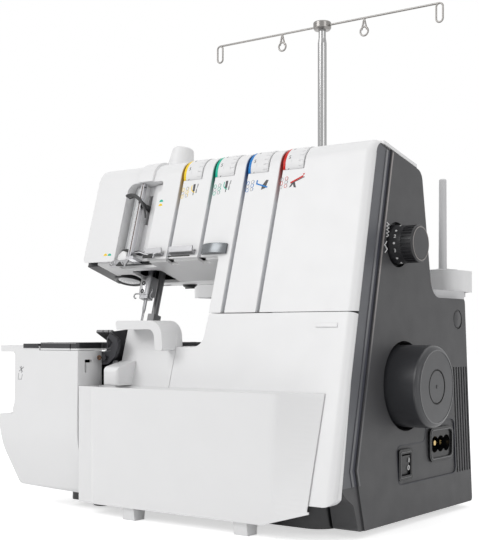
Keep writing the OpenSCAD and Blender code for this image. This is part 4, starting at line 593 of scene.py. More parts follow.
class Piece:
    """Mesh of closed bodies built up one by one, each with its own finish."""

    def __init__(self, name, body):
        self.name, self.body = name, body
        self.mesh = bmesh.new()
        self.finishes = []

    def add(self, bm, finish):
        if finish not in self.finishes:
            self.finishes.append(finish)
        bmesh.ops.recalc_face_normals(bm, faces=bm.faces)
        for face in bm.faces:
            face.material_index = self.finishes.index(finish)
            face.smooth = True
        part = bpy.data.meshes.new("part")
        bm.to_mesh(part)
        bm.free()
        self.mesh.from_mesh(part)
        bpy.data.meshes.remove(part)
        return self

    def skinned(self, rings, closed, finish):
        """Faces between successive rings of points, with ends closed."""
        bm = bmesh.new()
        rows = [[bm.verts.new(p) for p in ring] for ring in rings]
        pairs = list(zip(rows, rows[1:])) + ([(rows[-1], rows[0])] if closed else [])
        for a, b in pairs:
            n = max(len(a), len(b))
            for i in range(n):
                j = (i + 1) % n
                loop = [a[i % len(a)], a[j % len(a)], b[j % len(b)], b[i % len(b)]]
                bm.faces.new(list(dict.fromkeys(loop)))
        if not closed:
            for row in (rows[0], rows[-1]):
                if len(row) > 2:
                    bm.faces.new(row)
        return self.add(bm, finish)

    def prism(self, place, outline, low, high, finish, bevel=0.0, steps=2):
        bm = bmesh.new()
        bottom = [bm.verts.new(place(u, v, low)) for u, v in outline]
        top = [bm.verts.new(place(u, v, high)) for u, v in outline]
        bm.faces.new(bottom[::-1])
        cap = bm.faces.new(top)
        for i in range(len(outline)):
            j = (i + 1) % len(outline)
            bm.faces.new((bottom[i], bottom[j], top[j], top[i]))
        if bevel:
            bmesh.ops.bevel(
                bm, geom=list(cap.edges), offset=bevel * MM, segments=steps, profile=0.5, affect="EDGES"
            )
        return self.add(bm, finish)

    def mark(self, place, outline, finish):
        """Printed field."""
        return self.prism(place, outline, PRINT_LOW, PRINT_HIGH, finish)

    def band(self, place, points, width, finish, low=PRINT_LOW, high=PRINT_HIGH, closed=False):
        """Flat line of constant width on a face."""
        pts = [Vector(p[:2]) for p in points]
        count = len(pts)
        rings = []
        for i, p in enumerate(pts):
            before = pts[i - 1] if closed or i else p
            after = pts[(i + 1) % count] if closed or i < count - 1 else p
            a, b = p - before, after - p
            a = a.normalized() if a.length > 1e-9 else b.normalized()
            b = b.normalized() if b.length > 1e-9 else a
            along = (a + b).normalized() if (a + b).length > 1e-6 else a
            across = Vector((-along.y, along.x)) * width / 2 / max(0.5, along.dot(a))
            left, right = p + across, p - across
            rings.append(
                [place(*left, low), place(*left, high), place(*right, high), place(*right, low)]
            )
        return self.skinned(rings, closed, finish)

    def tube(self, points, radius, finish, sides=12, closed=False):
        """Round bar along points; radius is one number or one for each point."""
        pts = [Vector(p) for p in points]
        count = len(pts)
        rings = []
        across = None
        for i, p in enumerate(pts):
            before = pts[i - 1] if closed or i else p
            after = pts[(i + 1) % count] if closed or i < count - 1 else p
            along = (after - before).normalized()
            across = along.orthogonal() if across is None else across - across.dot(along) * along
            across.normalize()
            other = along.cross(across)
            r = (radius[i] if isinstance(radius, (list, tuple)) else radius) * MM
            turn = [2 * math.pi * k / sides for k in range(sides)]
            rings.append([p + r * (math.cos(a) * across + math.sin(a) * other) for a in turn])
        return self.skinned(rings, closed, finish)

    def lathe(self, place, centre, profile, finish, sides=40, ratio=1.0):
        """Profile of (radius, height) turned about the face's normal at a centre."""
        rings = []
        for r, h in profile:
            turn = [2 * math.pi * k / sides for k in range(sides if r > 1e-6 else 1)]
            rings.append(
                [place(centre[0] + r * math.cos(a), centre[1] + r * ratio * math.sin(a), h) for a in turn]
            )
        return self.skinned(rings, profile[0][0] > 1e-6 and profile[-1][0] > 1e-6, finish)

    def text(self, place, text, centre, size, finish, low=-0.1, high=0.06):
        """Digits as raised print."""
        curve = bpy.data.curves.new("digits", "FONT")
        curve.body, curve.size, curve.resolution_u = text, size, 3
        curve.align_x = curve.align_y = "CENTER"
        holder = bpy.data.objects.new("digits", curve)
        flat = bpy.data.meshes.new_from_object(holder)
        bm = bmesh.new()
        bm.from_mesh(flat)
        bmesh.ops.remove_doubles(bm, verts=bm.verts, dist=size * 1e-4)
        raised = bmesh.ops.extrude_face_region(bm, geom=bm.faces[:])
        upper = {g for g in raised["geom"] if isinstance(g, bmesh.types.BMVert)}
        for v in bm.verts:
            v.co = place(centre[0] + v.co.x, centre[1] + v.co.y, high if v in upper else low)
        for data in (holder, curve, flat):
            bpy.data.batch_remove([data])
        return self.add(bm, finish)

    def screw(self, place, centre, r, finish, head=1.2, slot="painted_gap_shade", cross=True):
        """Pan head with its drive recess, drawn as bands of painted shade."""
        self.lathe(
            place, centre, [(r, -0.4), (r, head * 0.4), (r * 0.8, head * 0.85), (0, head)], finish, 24
        )
        for a in (35, 125) if cross else (35,):
            u, v = math.cos(math.radians(a)) * r * 0.55, math.sin(math.radians(a)) * r * 0.55
            line = [(centre[0] - u, centre[1] - v), (centre[0] + u, centre[1] + v)]
            self.band(place, line, r * 0.24, slot, head * 0.5, head * 1.03)
        return self

    def done(self):
        data = bpy.data.meshes.new(self.name)
        self.mesh.to_mesh(data)
        self.mesh.free()
        data.set_sharp_from_angle(angle=math.radians(38))
        for finish in self.finishes:
            data.materials.append(materials[finish])
        obj = bpy.data.objects.new(self.name, data)
        bpy.context.collection.objects.link(obj)
        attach(obj, self.body)
        return obj


# ---- Channels and dials ----


def channel_liner(index, colour):
    """Grey walls of a thread channel, with a painted reflection of the dial's colour towards the top beside
    the dial.
    """
    x = CHANNEL_X + index * CHANNEL_PITCH
    low = 205.5 if index < 2 else 160.5
    liner = Piece(f"channel_liner_{colour}", "root")
    outer, inner = skin(0.7, low, -10), skin(CHANNEL_DEPTH - 0.1, low, -10)
    liner.prism(section, outer + inner[::-1], x - 0.15, x + 0.15, f"channel_{colour}")
    floor = skin(CHANNEL_DEPTH - 0.15, low, -10)[:2] + skin(CHANNEL_DEPTH + 0.15, low, -10)[1::-1]
    liner.prism(section, floor, x - 0.05, x + CHANNEL_W + 0.05, f"channel_{colour}")
    liner.done()


def dial_marks(index, colour):
    """Numbers, band line and grip line on a tension dial."""
    x = CHANNEL_X + index * CHANNEL_PITCH + DIAL_INSET
    around = drum(x, BROW, DIAL_R)
    marks = Piece(f"dial_marks_{colour}", DIAL_BODIES[colour])
    step = math.radians(36) * DIAL_R
    zero = math.radians(11) * DIAL_R
    for number in range(10):
        marks.text(around, str(number), (RING_W + 3.1, zero + (5 - number) * step), 4.4, "print_dark")
    for u, wide in ((8.3, 0.16), (15.2, 0.12)):
        circle = [(u, k / 72 * 2 * math.pi * DIAL_R) for k in range(72)]
        marks.band(around, circle, wide, "groove", -0.15, 0.03, closed=True)
    marks.done()


def stitch_loops(print_piece, place, x, z, colours):
    """Two columns of linked thread loops, as printed beside each channel."""
    for column in range(2):
        u = x + column * 4.2
        for row in range(3):
            v = z + row * 2.9 + column * 0.6
            loop = disc(u, v, 1.2, 16, 1.2)
            tone = colours[(row + column) % len(colours)]
            print_piece.band(place, loop, 0.34, tone, closed=True)
            if column:
                print_piece.band(place, [(u + 1.4, v - 1.0), (u + 1.4, v + 1.0)], 0.34, colours[0])


def machine_icon(print_piece, place, x, z, kind, tone):
    """Needle, looper or foot with its coloured thread."""
    if kind == "needle":
        for u0, v0, u1, v1 in ((1.0, 4.4, 3.2, 10.2), (1.8, 1.0, 2.5, 4.4), (4.6, 2.6, 5.4, 5.6)):
            print_piece.mark(place, rect(x + u0, z + v0, x + u1, z + v1), "print_dark")
        print_piece.band(place, [(x + 5, z + 5.6), (x + 5.6, z + 10.2)], 0.5, "print")
        curve = spline([(x - 0.4, z + 9.4), (x - 0.4, z + 6.2), (x + 1.2, z + 4.2), (x + 3.4, z + 3.2)])
        print_piece.band(place, curve, 0.7, tone)
    elif kind == "looper":
        blade = [(4.6, 0), (8.6, 1.2), (9.4, 4.6), (10.4, 7.4), (8.0, 7.6), (6.6, 5.6), (4.8, 3.4)]
        print_piece.mark(place, [(x + u, z + v) for u, v in blade], "print_dark")
        thread = [(x - 0.4, z + 8.0), (x - 0.6, z + 5.2), (x + 10.2, z + 1.6)]
        print_piece.band(place, thread, 1.1, tone, high=0.12)
    else:
        foot = [(-1.4, -0.4), (0.6, 0.2), (1.8, 2.2), (3.2, -0.6), (5.2, -0.8), (3.4, 3.6), (1.4, 4.2)]
        print_piece.mark(place, [(x + u, z + v) for u, v in foot], "print_dark")
        print_piece.band(place, [(x - 0.6, z + 3.2), (x + 10.4, z + 7.8)], 1.3, tone, high=0.12)
        print_piece.band(place, [(x + 0.4, z + 2.6), (x + 11.6, z + 7.0)], 0.5, "print_dark", high=0.14)
        print_piece.mark(place, disc(x + 10.6, z + 9.3, 0.7, 12), tone)


for index, colour in enumerate(DIAL_COLOURS):
    channel_liner(index, colour)
    dial_marks(index, colour)

pictograms = Piece("channel_pictograms", "root")
ICONS = {
    "yellow": ("needle", -45.6),
    "green": ("needle", -12.4),
    "blue": ("looper", 20.2),
    "red": ("foot", 52.2),
}
for colour, (kind, x) in ICONS.items():
    stitch_loops(pictograms, front, x, 255.4, [colour, "print"] if kind != "foot" else ["print", colour])
    machine_icon(pictograms, front, x + 9.0, 254.8, kind, colour)
    if kind == "needle":
        pictograms.band(front, [(x + 14.6, 262), (x + 15.4, 265)], 0.4, "print")
HALF_DOTS = (
    (-67.5, 252.6, "green"), (-67.6, 249.2, "yellow"), (-119.2, 209.3, "yellow"), (-114.5, 209.2, "green"),
)
for x, z, colour in HALF_DOTS:
    pictograms.mark(front, arc(x, z, 2.0, 0, 180, 14), colour)
pictograms.done()

# ---- Take-up recess ----

TAKE_UP_X = -88.0


def recess_parts():
    panel = Piece("take_up_panel", "root")

    def lean(u, h, v):
        return ON_LEAN(u, v, h)

    # Folded sheet left of the strip, with its lip to the recess wall
    fold = [(-107.2, -11.6), (-104.2, -6.4), (-101.0, -5.2), (-95.2, -5.2), (-94.4, -5.9), (-94.4, -11.6)]
    low, high = 214.0 / math.cos(LEAN), 270.2 / math.cos(LEAN)
    panel.prism(lean, rounded(fold, 0.5, 3), low, high, "panel", 0.5)
    # Painted shade in the gap between the sheet and the strip
    panel.band(front, [(-94.1, 215), (-94.1, 270)], 0.4, "painted_gap_shade", -11.8, -5.4)
    panel.band(front, [(-102.8, 217), (-102.8, 268)], 0.25, "groove", -6.3, -5.55)
    # White floor on the right that slopes up to the recess wall
    floor = [(-85.3, -11.9), (-85.3, -8.7), (-80.2, -5.8), (-73.4, -4.9), (-73.4, -11.9)]
    panel.prism(lean, floor, low, high, "white", 0.4)
    # Floor beside the strip, open where the lever's arm swings
    for corners in (
        (-90.5, 213.5, -85.2, 237.5), (-90.5, 262.5, -85.2, 270.5),
        (-90.5, 237, -89.75, 263), (-86.25, 237, -85.2, 263),
    ):
        panel.prism(front, rect(*corners), -12.1, -8.9, "grey")
    panel.prism(front, rect(-94.3, 214.5, -90.7, 268), -12.1, -11.8, "shade")
    panel.prism(front, rect(-91.0, 213.6, -90.55, 270), -12.0, -3.5, "grey")
    panel.done()
    trim = Piece("take_up_trim", "root")
    trim.band(front, [(-91.85, 212), (-91.85, 270.6)], 0.55, "brown", -1.2, -0.4)
    # White line of painted highlight along the strip's edge
    trim.band(front, [(-93.1, 212), (-93.1, 270.6)], 0.25, "print_white", -0.35, -0.1)
    # Curl of painted shade at the strip's foot, and the eyelet beside it with painted shade in its hole
    curl = [(4.4, -6.0), (4.6, -4.6), (3.8, -4.5), (0, -4.6)]
    trim.lathe(front, (-101.4, 214.6), curl, "painted_gap_shade", 32, 0.3)
    eyelet = (-83.3, 210.8)
    rim = [(3.5, -5.0), (3.6, -0.4), (2.5, 0.3), (2.2, -0.5), (2.2, -5.0)]
    trim.lathe(front, eyelet, rim, "dark_steel", 32, 0.42)
    trim.lathe(front, eyelet, [(2.4, -5.0), (2.4, -1.4), (0, -1.2)], "painted_gap_shade", 24, 0.42)
    trim.done()
    # Boss in front of the strip's foot
    boss = Piece("take_up_boss", "root")
    profile = rounded([(-104.8, 204.4), (-95.0, 204.4), (-95.6, 212.6), (-103.6, 212.6)], [1, 1, 3.4, 3.4], 5)
    boss.prism(front, profile, -9.5, -0.2, "white", 1.6, 4)
    boss.done()


recess_parts()

# ---- Chrome guides on the head's lower edge ----


def head_guides():
    guides = Piece("head_guide_details", "root")
    # Curved finger over the first guide, with painted shade in its throat
    finger = spline([(-81.5, 208.6), (-76.5, 208.9), (-71.0, 207.4), (-66.5, 206.6)], 6)
    line = [front(u, v, 4.4 + 0.5 * math.sin(i / 4)) for i, (u, v) in enumerate(finger)]
    guides.tube(line, 0.6, "guide", 10)
    guides.prism(front, rounded(rect(-72.6, 204.0, -61.8, 206.6), 0.6), 3.2, 4.0, "painted_gap_shade")
    guides.band(front, [(-60.8, 203.8), (-60.4, 207.0), (-57.6, 207.6)], 0.8, "guide", 3.0, 4.6)
    # Painted shadow along the lower edge of the second plate
    guides.prism(front, rounded(rect(-44.6, 203.6, -22.4, 204.5), 0.3), 4.2, 4.9, "painted_gap_shade")
    for u in (-46.4, -21.6):
        guides.screw(front, (u, 209.6), 1.1, "guide", 0.7)
    # Bent clip below the take-up recess
    clip = [(-109.0, 200.2), (-105.4, 203.4), (-101.6, 200.4), (-97.8, 203.2), (-94.0, 200.0)]
    line = [front(u, v, 2.9 + 0.3 * (i % 2)) for i, (u, v) in enumerate(spline(clip, 6))]
    guides.tube(line, 0.5, "guide", 10)
    # Painted shade in the slot behind the clip
    slot = [(-101.5, 198.8), (-92.4, 198.4), (-94.6, 201.8), (-100.4, 202.2)]
    guides.prism(front, rounded(slot, 0.5), 2.6, 3.2, "painted_gap_shade")
    line = [front(-109.4, 200.2, 0.2), front(-110.2, 201.0, 2.6), front(-107.0, 202.4, 3.6)]
    guides.tube(line, 0.45, "guide", 10)
    guides.done()


head_guides()

# ---- Needle clamp, presser bar and underside of the head ----


def needle_parts():
    clamp = Piece("needle_clamp_details", "needle_unit")
    # Two set screws sunk in a ground plate, and the thread hook beside them
    screws = ((-1.4, 43.5), (-1.4, 50.5))
    head = [(1.55, 5.2), (1.55, 6.5), (1.2, 6.8), (0.8, 6.8), (0.8, 6.0), (0, 6.0)]
    for centre in screws:
        clamp.lathe(ON_NEEDLE, centre, head, "black", 20)
    clamp.prism(ON_NEEDLE, rounded(rect(-5.1, 41.4, 1.2, 56.4), 0.9), 6.1, 6.5, "steel", 0.2)
    for centre in screws:
        clamp.lathe(ON_NEEDLE, centre, [(1.9, 6.3), (1.9, 6.8), (1.5, 6.9), (1.5, 6.4)], "dark_steel", 20)
    hook = [
        (4.4, 46.0, 3.0), (6.4, 46.4, 3.2), (7.0, 43.6, 3.4),
        (5.4, 40.6, 3.2), (6.2, 38.4, 2.6), (8.0, 38.0, 2.2),
    ]
    clamp.tube([ON_NEEDLE(*p) for p in spline(hook, 6)], 0.45, "guide", 10)
    clamp.done()
    bar = Piece("presser_bar_details", "presser_unit")

    def ankle(u, v, h):
        return ON_NEEDLE(h, v, u)

    # Knurled screw that clamps the ankle
    screw, knurl_r, teeth, half = (-13.0, 18.0), 2.6, 18, 0.2
    bar.lathe(ankle, screw, [(knurl_r, 3.4), (knurl_r, 6.6), (2.2, 7.2), (0, 7.2)], "dark_steel", 24)
    for u, v in disc(*screw, knurl_r, teeth):
        bar.prism(ankle, rect(u - half, v - half, u + half, v + half), 3.6, 6.4, "dark_steel")
    # Coil spring round the bar
    radius, steps, rise, turns = 4.1, 12, 0.36, 4
    coil = []
    for k in range(turns * steps + 1):
        a = k / steps * 2 * math.pi
        coil.append(ON_NEEDLE(radius * math.cos(a), 90 + k * rise, -13 + radius * math.sin(a)))
    bar.tube(coil, 0.6, "steel", 8)
    bar.done()


needle_parts()


def head_underside():
    under = Piece("head_underside_details", "root")
    slope = plane(at(0, -17, HEAD_LOW_Z), (1, 0, 0), (0, -1, 0.354))
    lamp = (-125.5, 6.9)
    # Rim round the lamp's lens
    oval = 0.78
    rim = [(14.0, -0.6), (14.4, 1.0), (13.2, 1.7), (11.4, 1.0), (11.4, -0.6)]
    under.lathe(slope, lamp, rim, "black", 56, oval)
    under.lathe(slope, lamp, [(11.2, -0.4), (10.8, 0.7), (7.0, 1.5), (0, 1.8)], "lens", 56, oval)
    for ratio in (0.35, 0.62):
        ring = disc(*lamp, 11.0 * ratio, 48, oval)
        under.band(slope, ring, 0.3, "groove", 1.0, 1.86 - ratio * 0.5, closed=True)
    floor = looking_down(HEAD_LOW_Z)
    for x, y in ((-122, 26), (-60, 26), (-12, -6)):
        under.lathe(floor, (x, -y), [(3.2, -0.4), (3.2, 0.3), (2.7, 0.3), (2.7, -0.3)], "groove", 24)
        under.screw(floor, (x, -y), 2.3, "dark_steel", 0.4)
    under.done()


head_underside()


# ---- Take-up lever ----

TAKE_UP_PIVOT = (-8.0, 232.0)


def take_up():
    lever = Piece("take_up_arm", "take_up")
    across = looking_right(TAKE_UP_X)
    tip_y = front_y(249.5) + 4.6
    arm = [
        (TAKE_UP_PIVOT[0] + 1.5, TAKE_UP_PIVOT[1] + 5.8), (TAKE_UP_PIVOT[0] - 5.5, TAKE_UP_PIVOT[1] - 2.6),
        (-26.0, 238.4), (tip_y + 1.0, 248.6), (tip_y + 0.4, 252.4), (-27.0, 246.6),
    ]
    lever.prism(across, rounded(arm, [2, 2, 6, 1.2, 1.2, 6], 5), -1.4, 1.4, "black", 0.5)
    hub = [(6.2, -2.2), (6.2, 1.9), (5.6, 2.5), (3.4, 2.5), (3.0, 2.1), (0, 2.1)]
    lever.lathe(across, TAKE_UP_PIVOT, hub, "black", 40)
    lever.lathe(across, TAKE_UP_PIVOT, [(6.2, -2.2), (5.0, -2.5), (0, -2.5)], "dark_steel", 40)
    lever.screw(across, TAKE_UP_PIVOT, 2.6, "dark_steel", 2.6)
    # Neck through the slot, then the hook that crosses in front of the strip
    neck = spline([(TAKE_UP_X, 250.6, -8), (TAKE_UP_X, 252.4, -3), (TAKE_UP_X, 253.8, 3.6)], 5)
    lever.tube([front(*q) for q in neck], 1.3, "black", 14)
    line = [
        (-103.0, 258.4, 5.2), (-99.6, 258.6, 5.3), (-95.6, 258.2, 5.3), (-91.2, 256.7, 5.2),
        (-87.0, 253.6, 4.9), (-83.2, 249.4, 4.4), (-80.2, 244.2, 3.8), (-78.6, 238.6, 3.2),
    ]
    points = spline(line, 6)
    last = len(points) - 1
    radii = [0.55 + 1.15 * math.sin(math.pi * min(1.0, 0.18 + 1.1 * k / last)) ** 0.7 if k < last * 0.72
             else 1.0 - 0.35 * (k / last - 0.72) / 0.28 for k in range(last + 1)]
    lever.tube([front(*q) for q in points], radii, "black", 14)
    tip = rounded([(-103.4, 258.2), (-95.0, 259.4), (-93.2, 256.6), (-99.4, 255.6)], [0.6, 1, 1, 1.4])
    lever.prism(front, tip, 4.4, 6.1, "black", 0.6)
    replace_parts(lever.done(), "take_up_lever")


take_up()

# ---- Dark side ----


STRIP_KINK = (-80.2, 48)
STRIP_LEAN_BELOW, STRIP_LEAN_ABOVE = -0.2125, 0.29559
SEAM_BEHIND, SEAM_FLARE, FLARE_TOP_Z = 7, 0.06, 111


def strip_rear(z, d=0.0):
    """Rear limit of the recessed strip at height z, set forward by d."""
    lean = STRIP_LEAN_BELOW if z < STRIP_KINK[1] else STRIP_LEAN_ABOVE
    return (STRIP_KINK[0] + (z - STRIP_KINK[1]) * lean - d, z)


def seam(z, d=0.0):
    """Joint of the white cover and the dark side at height z, set back by d."""
    return (front_y(z) + SEAM_BEHIND + SEAM_FLARE * max(0, FLARE_TOP_Z - z) + d, z)


def side_strip():
    strip = Piece("side_strip", "root")
    brow = seam(285.4, 0.7)

    def rear(d):
        return [strip_rear(z, d) for z in (37, 48, 80, 111, 160, 214, 250, 272)]

    # Sheet between the seam and the rib
    ahead = [seam(37, 1.6), seam(60, 0.9), seam(111, 0.8), seam(200, 0.8), brow]
    behind = [strip_rear(281.0, 7.4)] + rear(6.9)[::-1]
    sheet = rounded(ahead + behind, [0, 6, 6, 6, 9.4] + [0] * len(behind), 8)
    strip.prism(side, sheet, -1.3, -1.08, "strip")
    # Rib with a painted highlight that is lighter towards the top, groove of painted shadow, and edge of
    # painted highlight
    upper = strip_rear(280.2)
    strip.band(side, rear(5.9) + [(upper[0] - 5.9, 280.6)], 2.6, "rib", -1.3, -0.5)
    strip.band(side, rear(2.5) + [(upper[0] - 2.5, 280.2)], 4.7, "groove_painted_shadow", -1.3, -1.05)
    strip.band(side, rear(-1.7) + [(upper[0] + 1.7, 279.6)], 1.9, "edge_painted_highlight", -0.1, 0.16)
    strip.done()


side_strip()


def side_prints():
    prints = Piece("side_prints", "root")
    # Dense and open stitch in front of the stitch length dial
    dense, open_stitch = [], []
    for k in range(9):
        dense.append((-23.2 + (1.9 if k % 2 else -1.9) + 0.15 * k, 215.0 + 1.35 * k))
    for k in range(4):
        open_stitch.append((-26.4 + (1.9 if k % 2 else -1.9), 203.0 + 2.9 * k))
    prints.band(side, dense, 0.75, "print_white")
    prints.band(side, open_stitch, 0.75, "print_white")
    # Screw that holds the side cover, in its round recess, with a black ring of painted shade round its cap
    well = looking_right(SIDE_FOOT_X - SIDE_DRAFT * 155 - 1.0)
    screw = (91, 155)
    prints.lathe(well, screw, [(7.8, -0.3), (7.8, 0.25), (7.2, 0.35), (6.9, 0.05), (6.9, -0.3)], "black", 44)
    prints.lathe(well, screw, [(6.8, -0.3), (6.8, 0.5), (6.4, 0.8), (0, 0.8)], "dark", 44)
    prints.lathe(well, screw, [(0.6, 0.5), (0.6, 0.85), (0, 0.85)], "black", 12)
    # Line of painted shade round the shallow panel of switch and inlet
    panel = [(-20, 31), (77, 31), (77, 75), (28, 75), (24, 60), (-20, 60)]
    prints.band(side, rounded(panel, 6, 6), 0.45, "groove_painted_shadow", -0.9, 0.05, closed=True)
    # Painted shade in the throats of the side vents
    vent_floor, first_y, pitch = looking_right(123.05), 79, 4.6
    for k in range(6):
        y = first_y + k * pitch
        prints.prism(vent_floor, rect(y + 0.1, 31.5, y + 2.1, 115.5), 0, 0.3, "painted_gap_shade")
    prints.done()


side_prints()


LENGTH_DIAL = (-8, 210)


def skirt(r):
    """Place round the stitch length dial: u toward the grip, v round it from the front."""

    def place(u, v, h=0.0):
        a = v / r
        return at(132.4 + u, LENGTH_DIAL[0] - (r + h) * math.cos(a), LENGTH_DIAL[1] + (r + h) * math.sin(a))

    return place


def length_dial_marks():
    marks = Piece("length_dial_marks", "length_dial")
    r = 14.75
    around = skirt(r)
    for degrees, text in ((70, "1"), (20, "2"), (-22, "3"), (-74, "4")):
        marks.text(around, text, (4.2, math.radians(degrees) * r), 3.8, "print_white", -0.3, 0.12)
    for degrees in (0, -48, 40):
        marks.prism(around, disc(3.9, math.radians(degrees) * r, 0.85, 14), -0.3, 0.12, "print_white")
    # Flat face with a rim of painted highlight
    face = looking_right(151)
    rim = [(12.7, -0.2), (12.7, 0.12), (12.2, 0.16), (12.0, 0.05), (12.0, -0.2)]
    marks.lathe(face, LENGTH_DIAL, rim, "edge_painted_highlight", 72)
    marks.lathe(face, LENGTH_DIAL, [(11.9, -0.2), (11.6, 0.06), (0, 0.08)], "dark", 72)
    marks.done()


length_dial_marks()


def handwheel_marks():
    wheel = Piece("handwheel_details", "drive")
    face = looking_right(162)
    hub = (-3.4, 104.0)
    # Ring of painted highlight on the face's rounded edge
    rim = [(27.4, -0.5), (27.4, 0.02), (27.0, 0.1), (26.6, 0.06), (26.6, -0.5)]
    wheel.lathe(face, hub, rim, "grey_painted_highlight", 96)
    # Ring of painted shade in the gap round the cap
    wheel.lathe(face, hub, [(12.95, -0.6), (12.95, 0.04), (12.4, 0.04), (12.4, -0.6)], "painted_gap_shade", 72)
    wheel.lathe(face, hub, [(1.5, -1.2), (1.5, -0.1), (1.2, 0.1), (0, 0.1)], "black", 24)
    wheel.done()


handwheel_marks()

# On and off strokes
rocker = Piece("rocker_mark", "rocker")
rocking = plane(at(139.0, 0, 45.5), (0, 1, 0), (0, 0, 1))
rocker.band(rocking, [(-4.1, 1.4), (-4.1, 4.8)], 0.5, "print_white", -1.8, 0.3)
rocker.band(rocking, disc(-4.1, -2.6, 1.3, 20, 1.25), 0.45, "print_white", -1.8, -0.2, closed=True)
rocker.done()


def inlet_marks():
    # Painted highlights on the edges of the mains inlet and of the switch's bezel
    inlet = Piece("inlet_details", "root")
    face = looking_right(SIDE_FOOT_X - SIDE_DRAFT * 56 + 1.2)
    inlet.band(face, rounded(rect(33.2, 45.2, 69.8, 67.8), 4.4, 6), 0.5, "grey_painted_highlight", -0.3, 0.1, closed=True)
    bezel = looking_right(SIDE_FOOT_X - SIDE_DRAFT * 45.5 + 1.0)
    inlet.band(bezel, rounded(rect(-17.0, 36.0, 0.0, 55.0), 1.6, 4), 0.4, "grey_painted_highlight", -0.3, 0.1, closed=True)
    inlet.done()


inlet_marks()

# ---- Free arm, bed and knife ----


def touch(node, x, z):
    """Depth in outline millimetres at which a line from the front meets a CAD node."""
    hit, place, _, _ = frame["nodes"][node].ray_cast(at(x, -200, z), Vector((0, 1, 0)))
    return (place.y - DATUM_Y) / MM if hit else ARM_FRONT_Y


def arm_marks():
    arm = Piece("arm_prints", "arm_cover")
    face = facing(touch("free_arm_cover", -162.5, 111.0))
    # Seam width icon: arrows that spread over a bracket
    for line in (
        [(-165.0, 112.0), (-159.6, 115.6)],
        [(-164.0, 115.8), (-160.6, 111.4)],
        [(-162.3, 110.6), (-162.3, 116.4)],
        [(-165.4, 110.4), (-166.0, 105.4), (-162.0, 105.4), (-161.0, 109.4)],
    ):
        arm.band(face, line, 0.5, "print", -0.25, 0.12)
    # Dark strip let into the arm's upper edge, in line with the cloth plate
    strip_y = touch("free_arm_cover", -150.0, 128.0)
    edge = rounded(rect(-160.5, strip_y - 0.35, -141.8, -36.0), [1.2, 0.2, 0.2, 4], 4)
    arm.prism(looking_up(0), edge, 131.4, 135.0, "bed", 0.4)
    arm.done()
    ribs = Piece("width_knob_ribs", "width_knob")
    turn = plane(at(-165, -108.5, 104), (1, 0, 0), (0, 0, 1))
    for k in range(24):
        a = math.radians(7.5 + 15 * k)
        u, v = 11.45 * math.cos(a), 11.45 * math.sin(a)
        ribs.prism(turn, disc(u, v, 0.55, 8), -10.5, -0.8, "groove")
    ribs.lathe(turn, (0, 0), [(9.6, -0.3), (9.6, 0.1), (9.2, 0.1), (9.2, -0.3)], "groove", 48)
    ribs.band(turn, [(0, 5.5), (0, 9.2)], 0.9, "print", -0.3, 0.12)
    ribs.done()


def bed_details():
    bed = Piece("bed_details", "root")
    top = looking_up(BED_Z)
    # Lighter grey band along the top edge of the cloth plate
    edge = facing(-115.8)
    bed.prism(edge, rect(-138.0, 135.2, -99.0, 135.85), -0.3, 0.12, "bed_edge")
    # Screws with slots of painted shade
    for x, y in ((-101.6, -72.0), (-101.6, -20.0)):
        bed.lathe(top, (x, y), [(2.6, -0.3), (2.6, 0.25), (2.2, 0.35), (0, 0.35)], "steel", 28)
        bed.band(top, [(x - 1.7, y - 1.0), (x + 1.7, y + 1.0)], 0.5, "painted_gap_shade", 0.1, 0.4)
    # Seam guide lines cut in the plate
    for x in (-112, -118, -124, -130):
        bed.band(top, [(x, -96), (x, -46)], 0.3, "print", -0.2, 0.05)
        bed.band(top, [(x - 0.9, -46), (x + 0.9, -46)], 0.3, "print", -0.2, 0.05)
    # Flat screws with slots of painted shade
    for x, y in ((-134, 2), (-74, 2), (-134, -110)):
        bed.lathe(top, (x, y), [(3.0, -0.3), (3.0, 0.12), (0, 0.12)], "dark_steel", 28)
        bed.band(top, [(x - 2.0, y - 0.8), (x + 2.0, y + 0.8)], 0.6, "painted_gap_shade", 0.0, 0.16)
    bed.done()


def knife_details():
    # Bronze screw of the bracket with a slot of painted shade, and two lines of painted highlight above it
    knife = Piece("knife_details", "knife")
    face = facing(-98.0)
    knife.lathe(face, (-90.2, 124.0), [(2.0, -0.3), (2.0, 0.7), (1.6, 1.1), (0, 1.1)], "copper", 28)
    knife.band(face, [(-91.5, 123.3), (-88.9, 124.7)], 0.6, "painted_gap_shade", 0.7, 1.2)
    for z in (128.4, 130.6):
        knife.band(facing(-96.0), [(-87.6, z), (-79.6, z + 1.4)], 0.35, "grey_painted_highlight", -0.2, 0.2)
    knife.done()


arm_marks()
bed_details()
knife_details()

# ---- Back, thread stand and foot ----


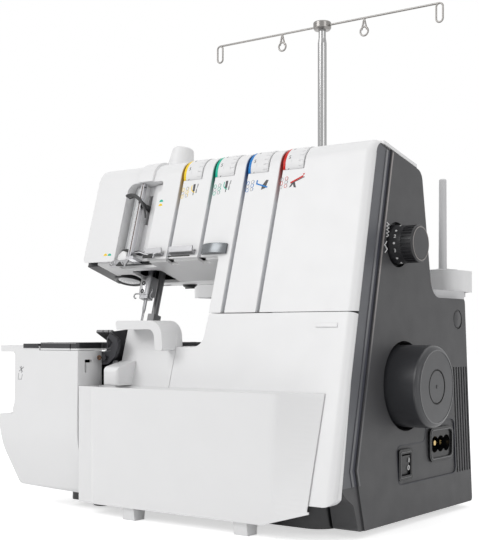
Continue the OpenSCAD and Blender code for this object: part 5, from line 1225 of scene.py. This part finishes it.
def rear_knob():
    """Low knob with a grip bar under the head."""
    knob = Piece("head_rear_knob", "root")
    below = looking_down(HEAD_LOW_Z)
    profile = [(7.2, -0.5), (7.2, 0.6), (6.4, 1.9), (4.4, 2.9), (0, 3.2)]
    knob.lathe(below, (-103.0, -33.0), profile, "black", 48, 0.8)
    knob.band(below, [(-108.0, -33.0), (-98.0, -33.0)], 1.4, "black", 2.4, 3.8)
    knob.done()


rear_knob()


def rear_details():
    # Cover screws in their cups, and painted shade along the joint of base and rear cover
    rear = Piece("rear_details", "root")
    wall = looking_back(BASE_BACK_Y)
    cup = [(5.2, -0.4), (5.2, 0.1), (4.9, 0.5), (3.9, 0.5), (3.7, 0.05), (0, 0.05)]
    for x, z in ((-120, 118), (104, 118), (-120, 36), (104, 36), (-8, 118)):
        rear.lathe(wall, (-x, z), cup, "black", 36)
        rear.screw(wall, (-x, z), 2.7, "dark_steel", 0.9)
    rear.band(wall, [(-116.5, 128.2), (134.5, 128.2)], 0.5, "painted_gap_shade", -0.5, 0.05)
    rear.done()
    stand = Piece("stand_details", "root")
    deck = looking_up(DECK_Z)
    pin_y, mast_x = 126.5, -20
    # Spool cushion round each pin, and the mast's collar
    cushion = [(13.0, -0.3), (13.0, 0.9), (12.2, 1.5), (6.0, 1.5), (5.6, 2.3), (3.7, 2.3), (3.7, -0.3)]
    for x in (-133, -60, 28, 103):
        stand.lathe(deck, (x, pin_y), cushion, "grey", 48)
        stand.lathe(deck, (x, pin_y), [(10.2, 1.2), (10.2, 1.62), (9.8, 1.62), (9.8, 1.2)], "print", 48)
    collar = [(9.0, -0.3), (9.0, 1.2), (8.2, 2.2), (6.0, 2.6), (6.0, -0.3)]
    stand.lathe(deck, (mast_x, pin_y), collar, "grey", 48)
    stand.done()
    below = looking_down(PAN_Z)
    pan = Piece("pan_screws", "root")
    for x, y in ((-100, -60), (80, -60), (-100, 84), (80, 84)):
        pan.screw(below, (x, -y), 3.2, "dark_steel", 1.0)
    pan.done()


rear_details()
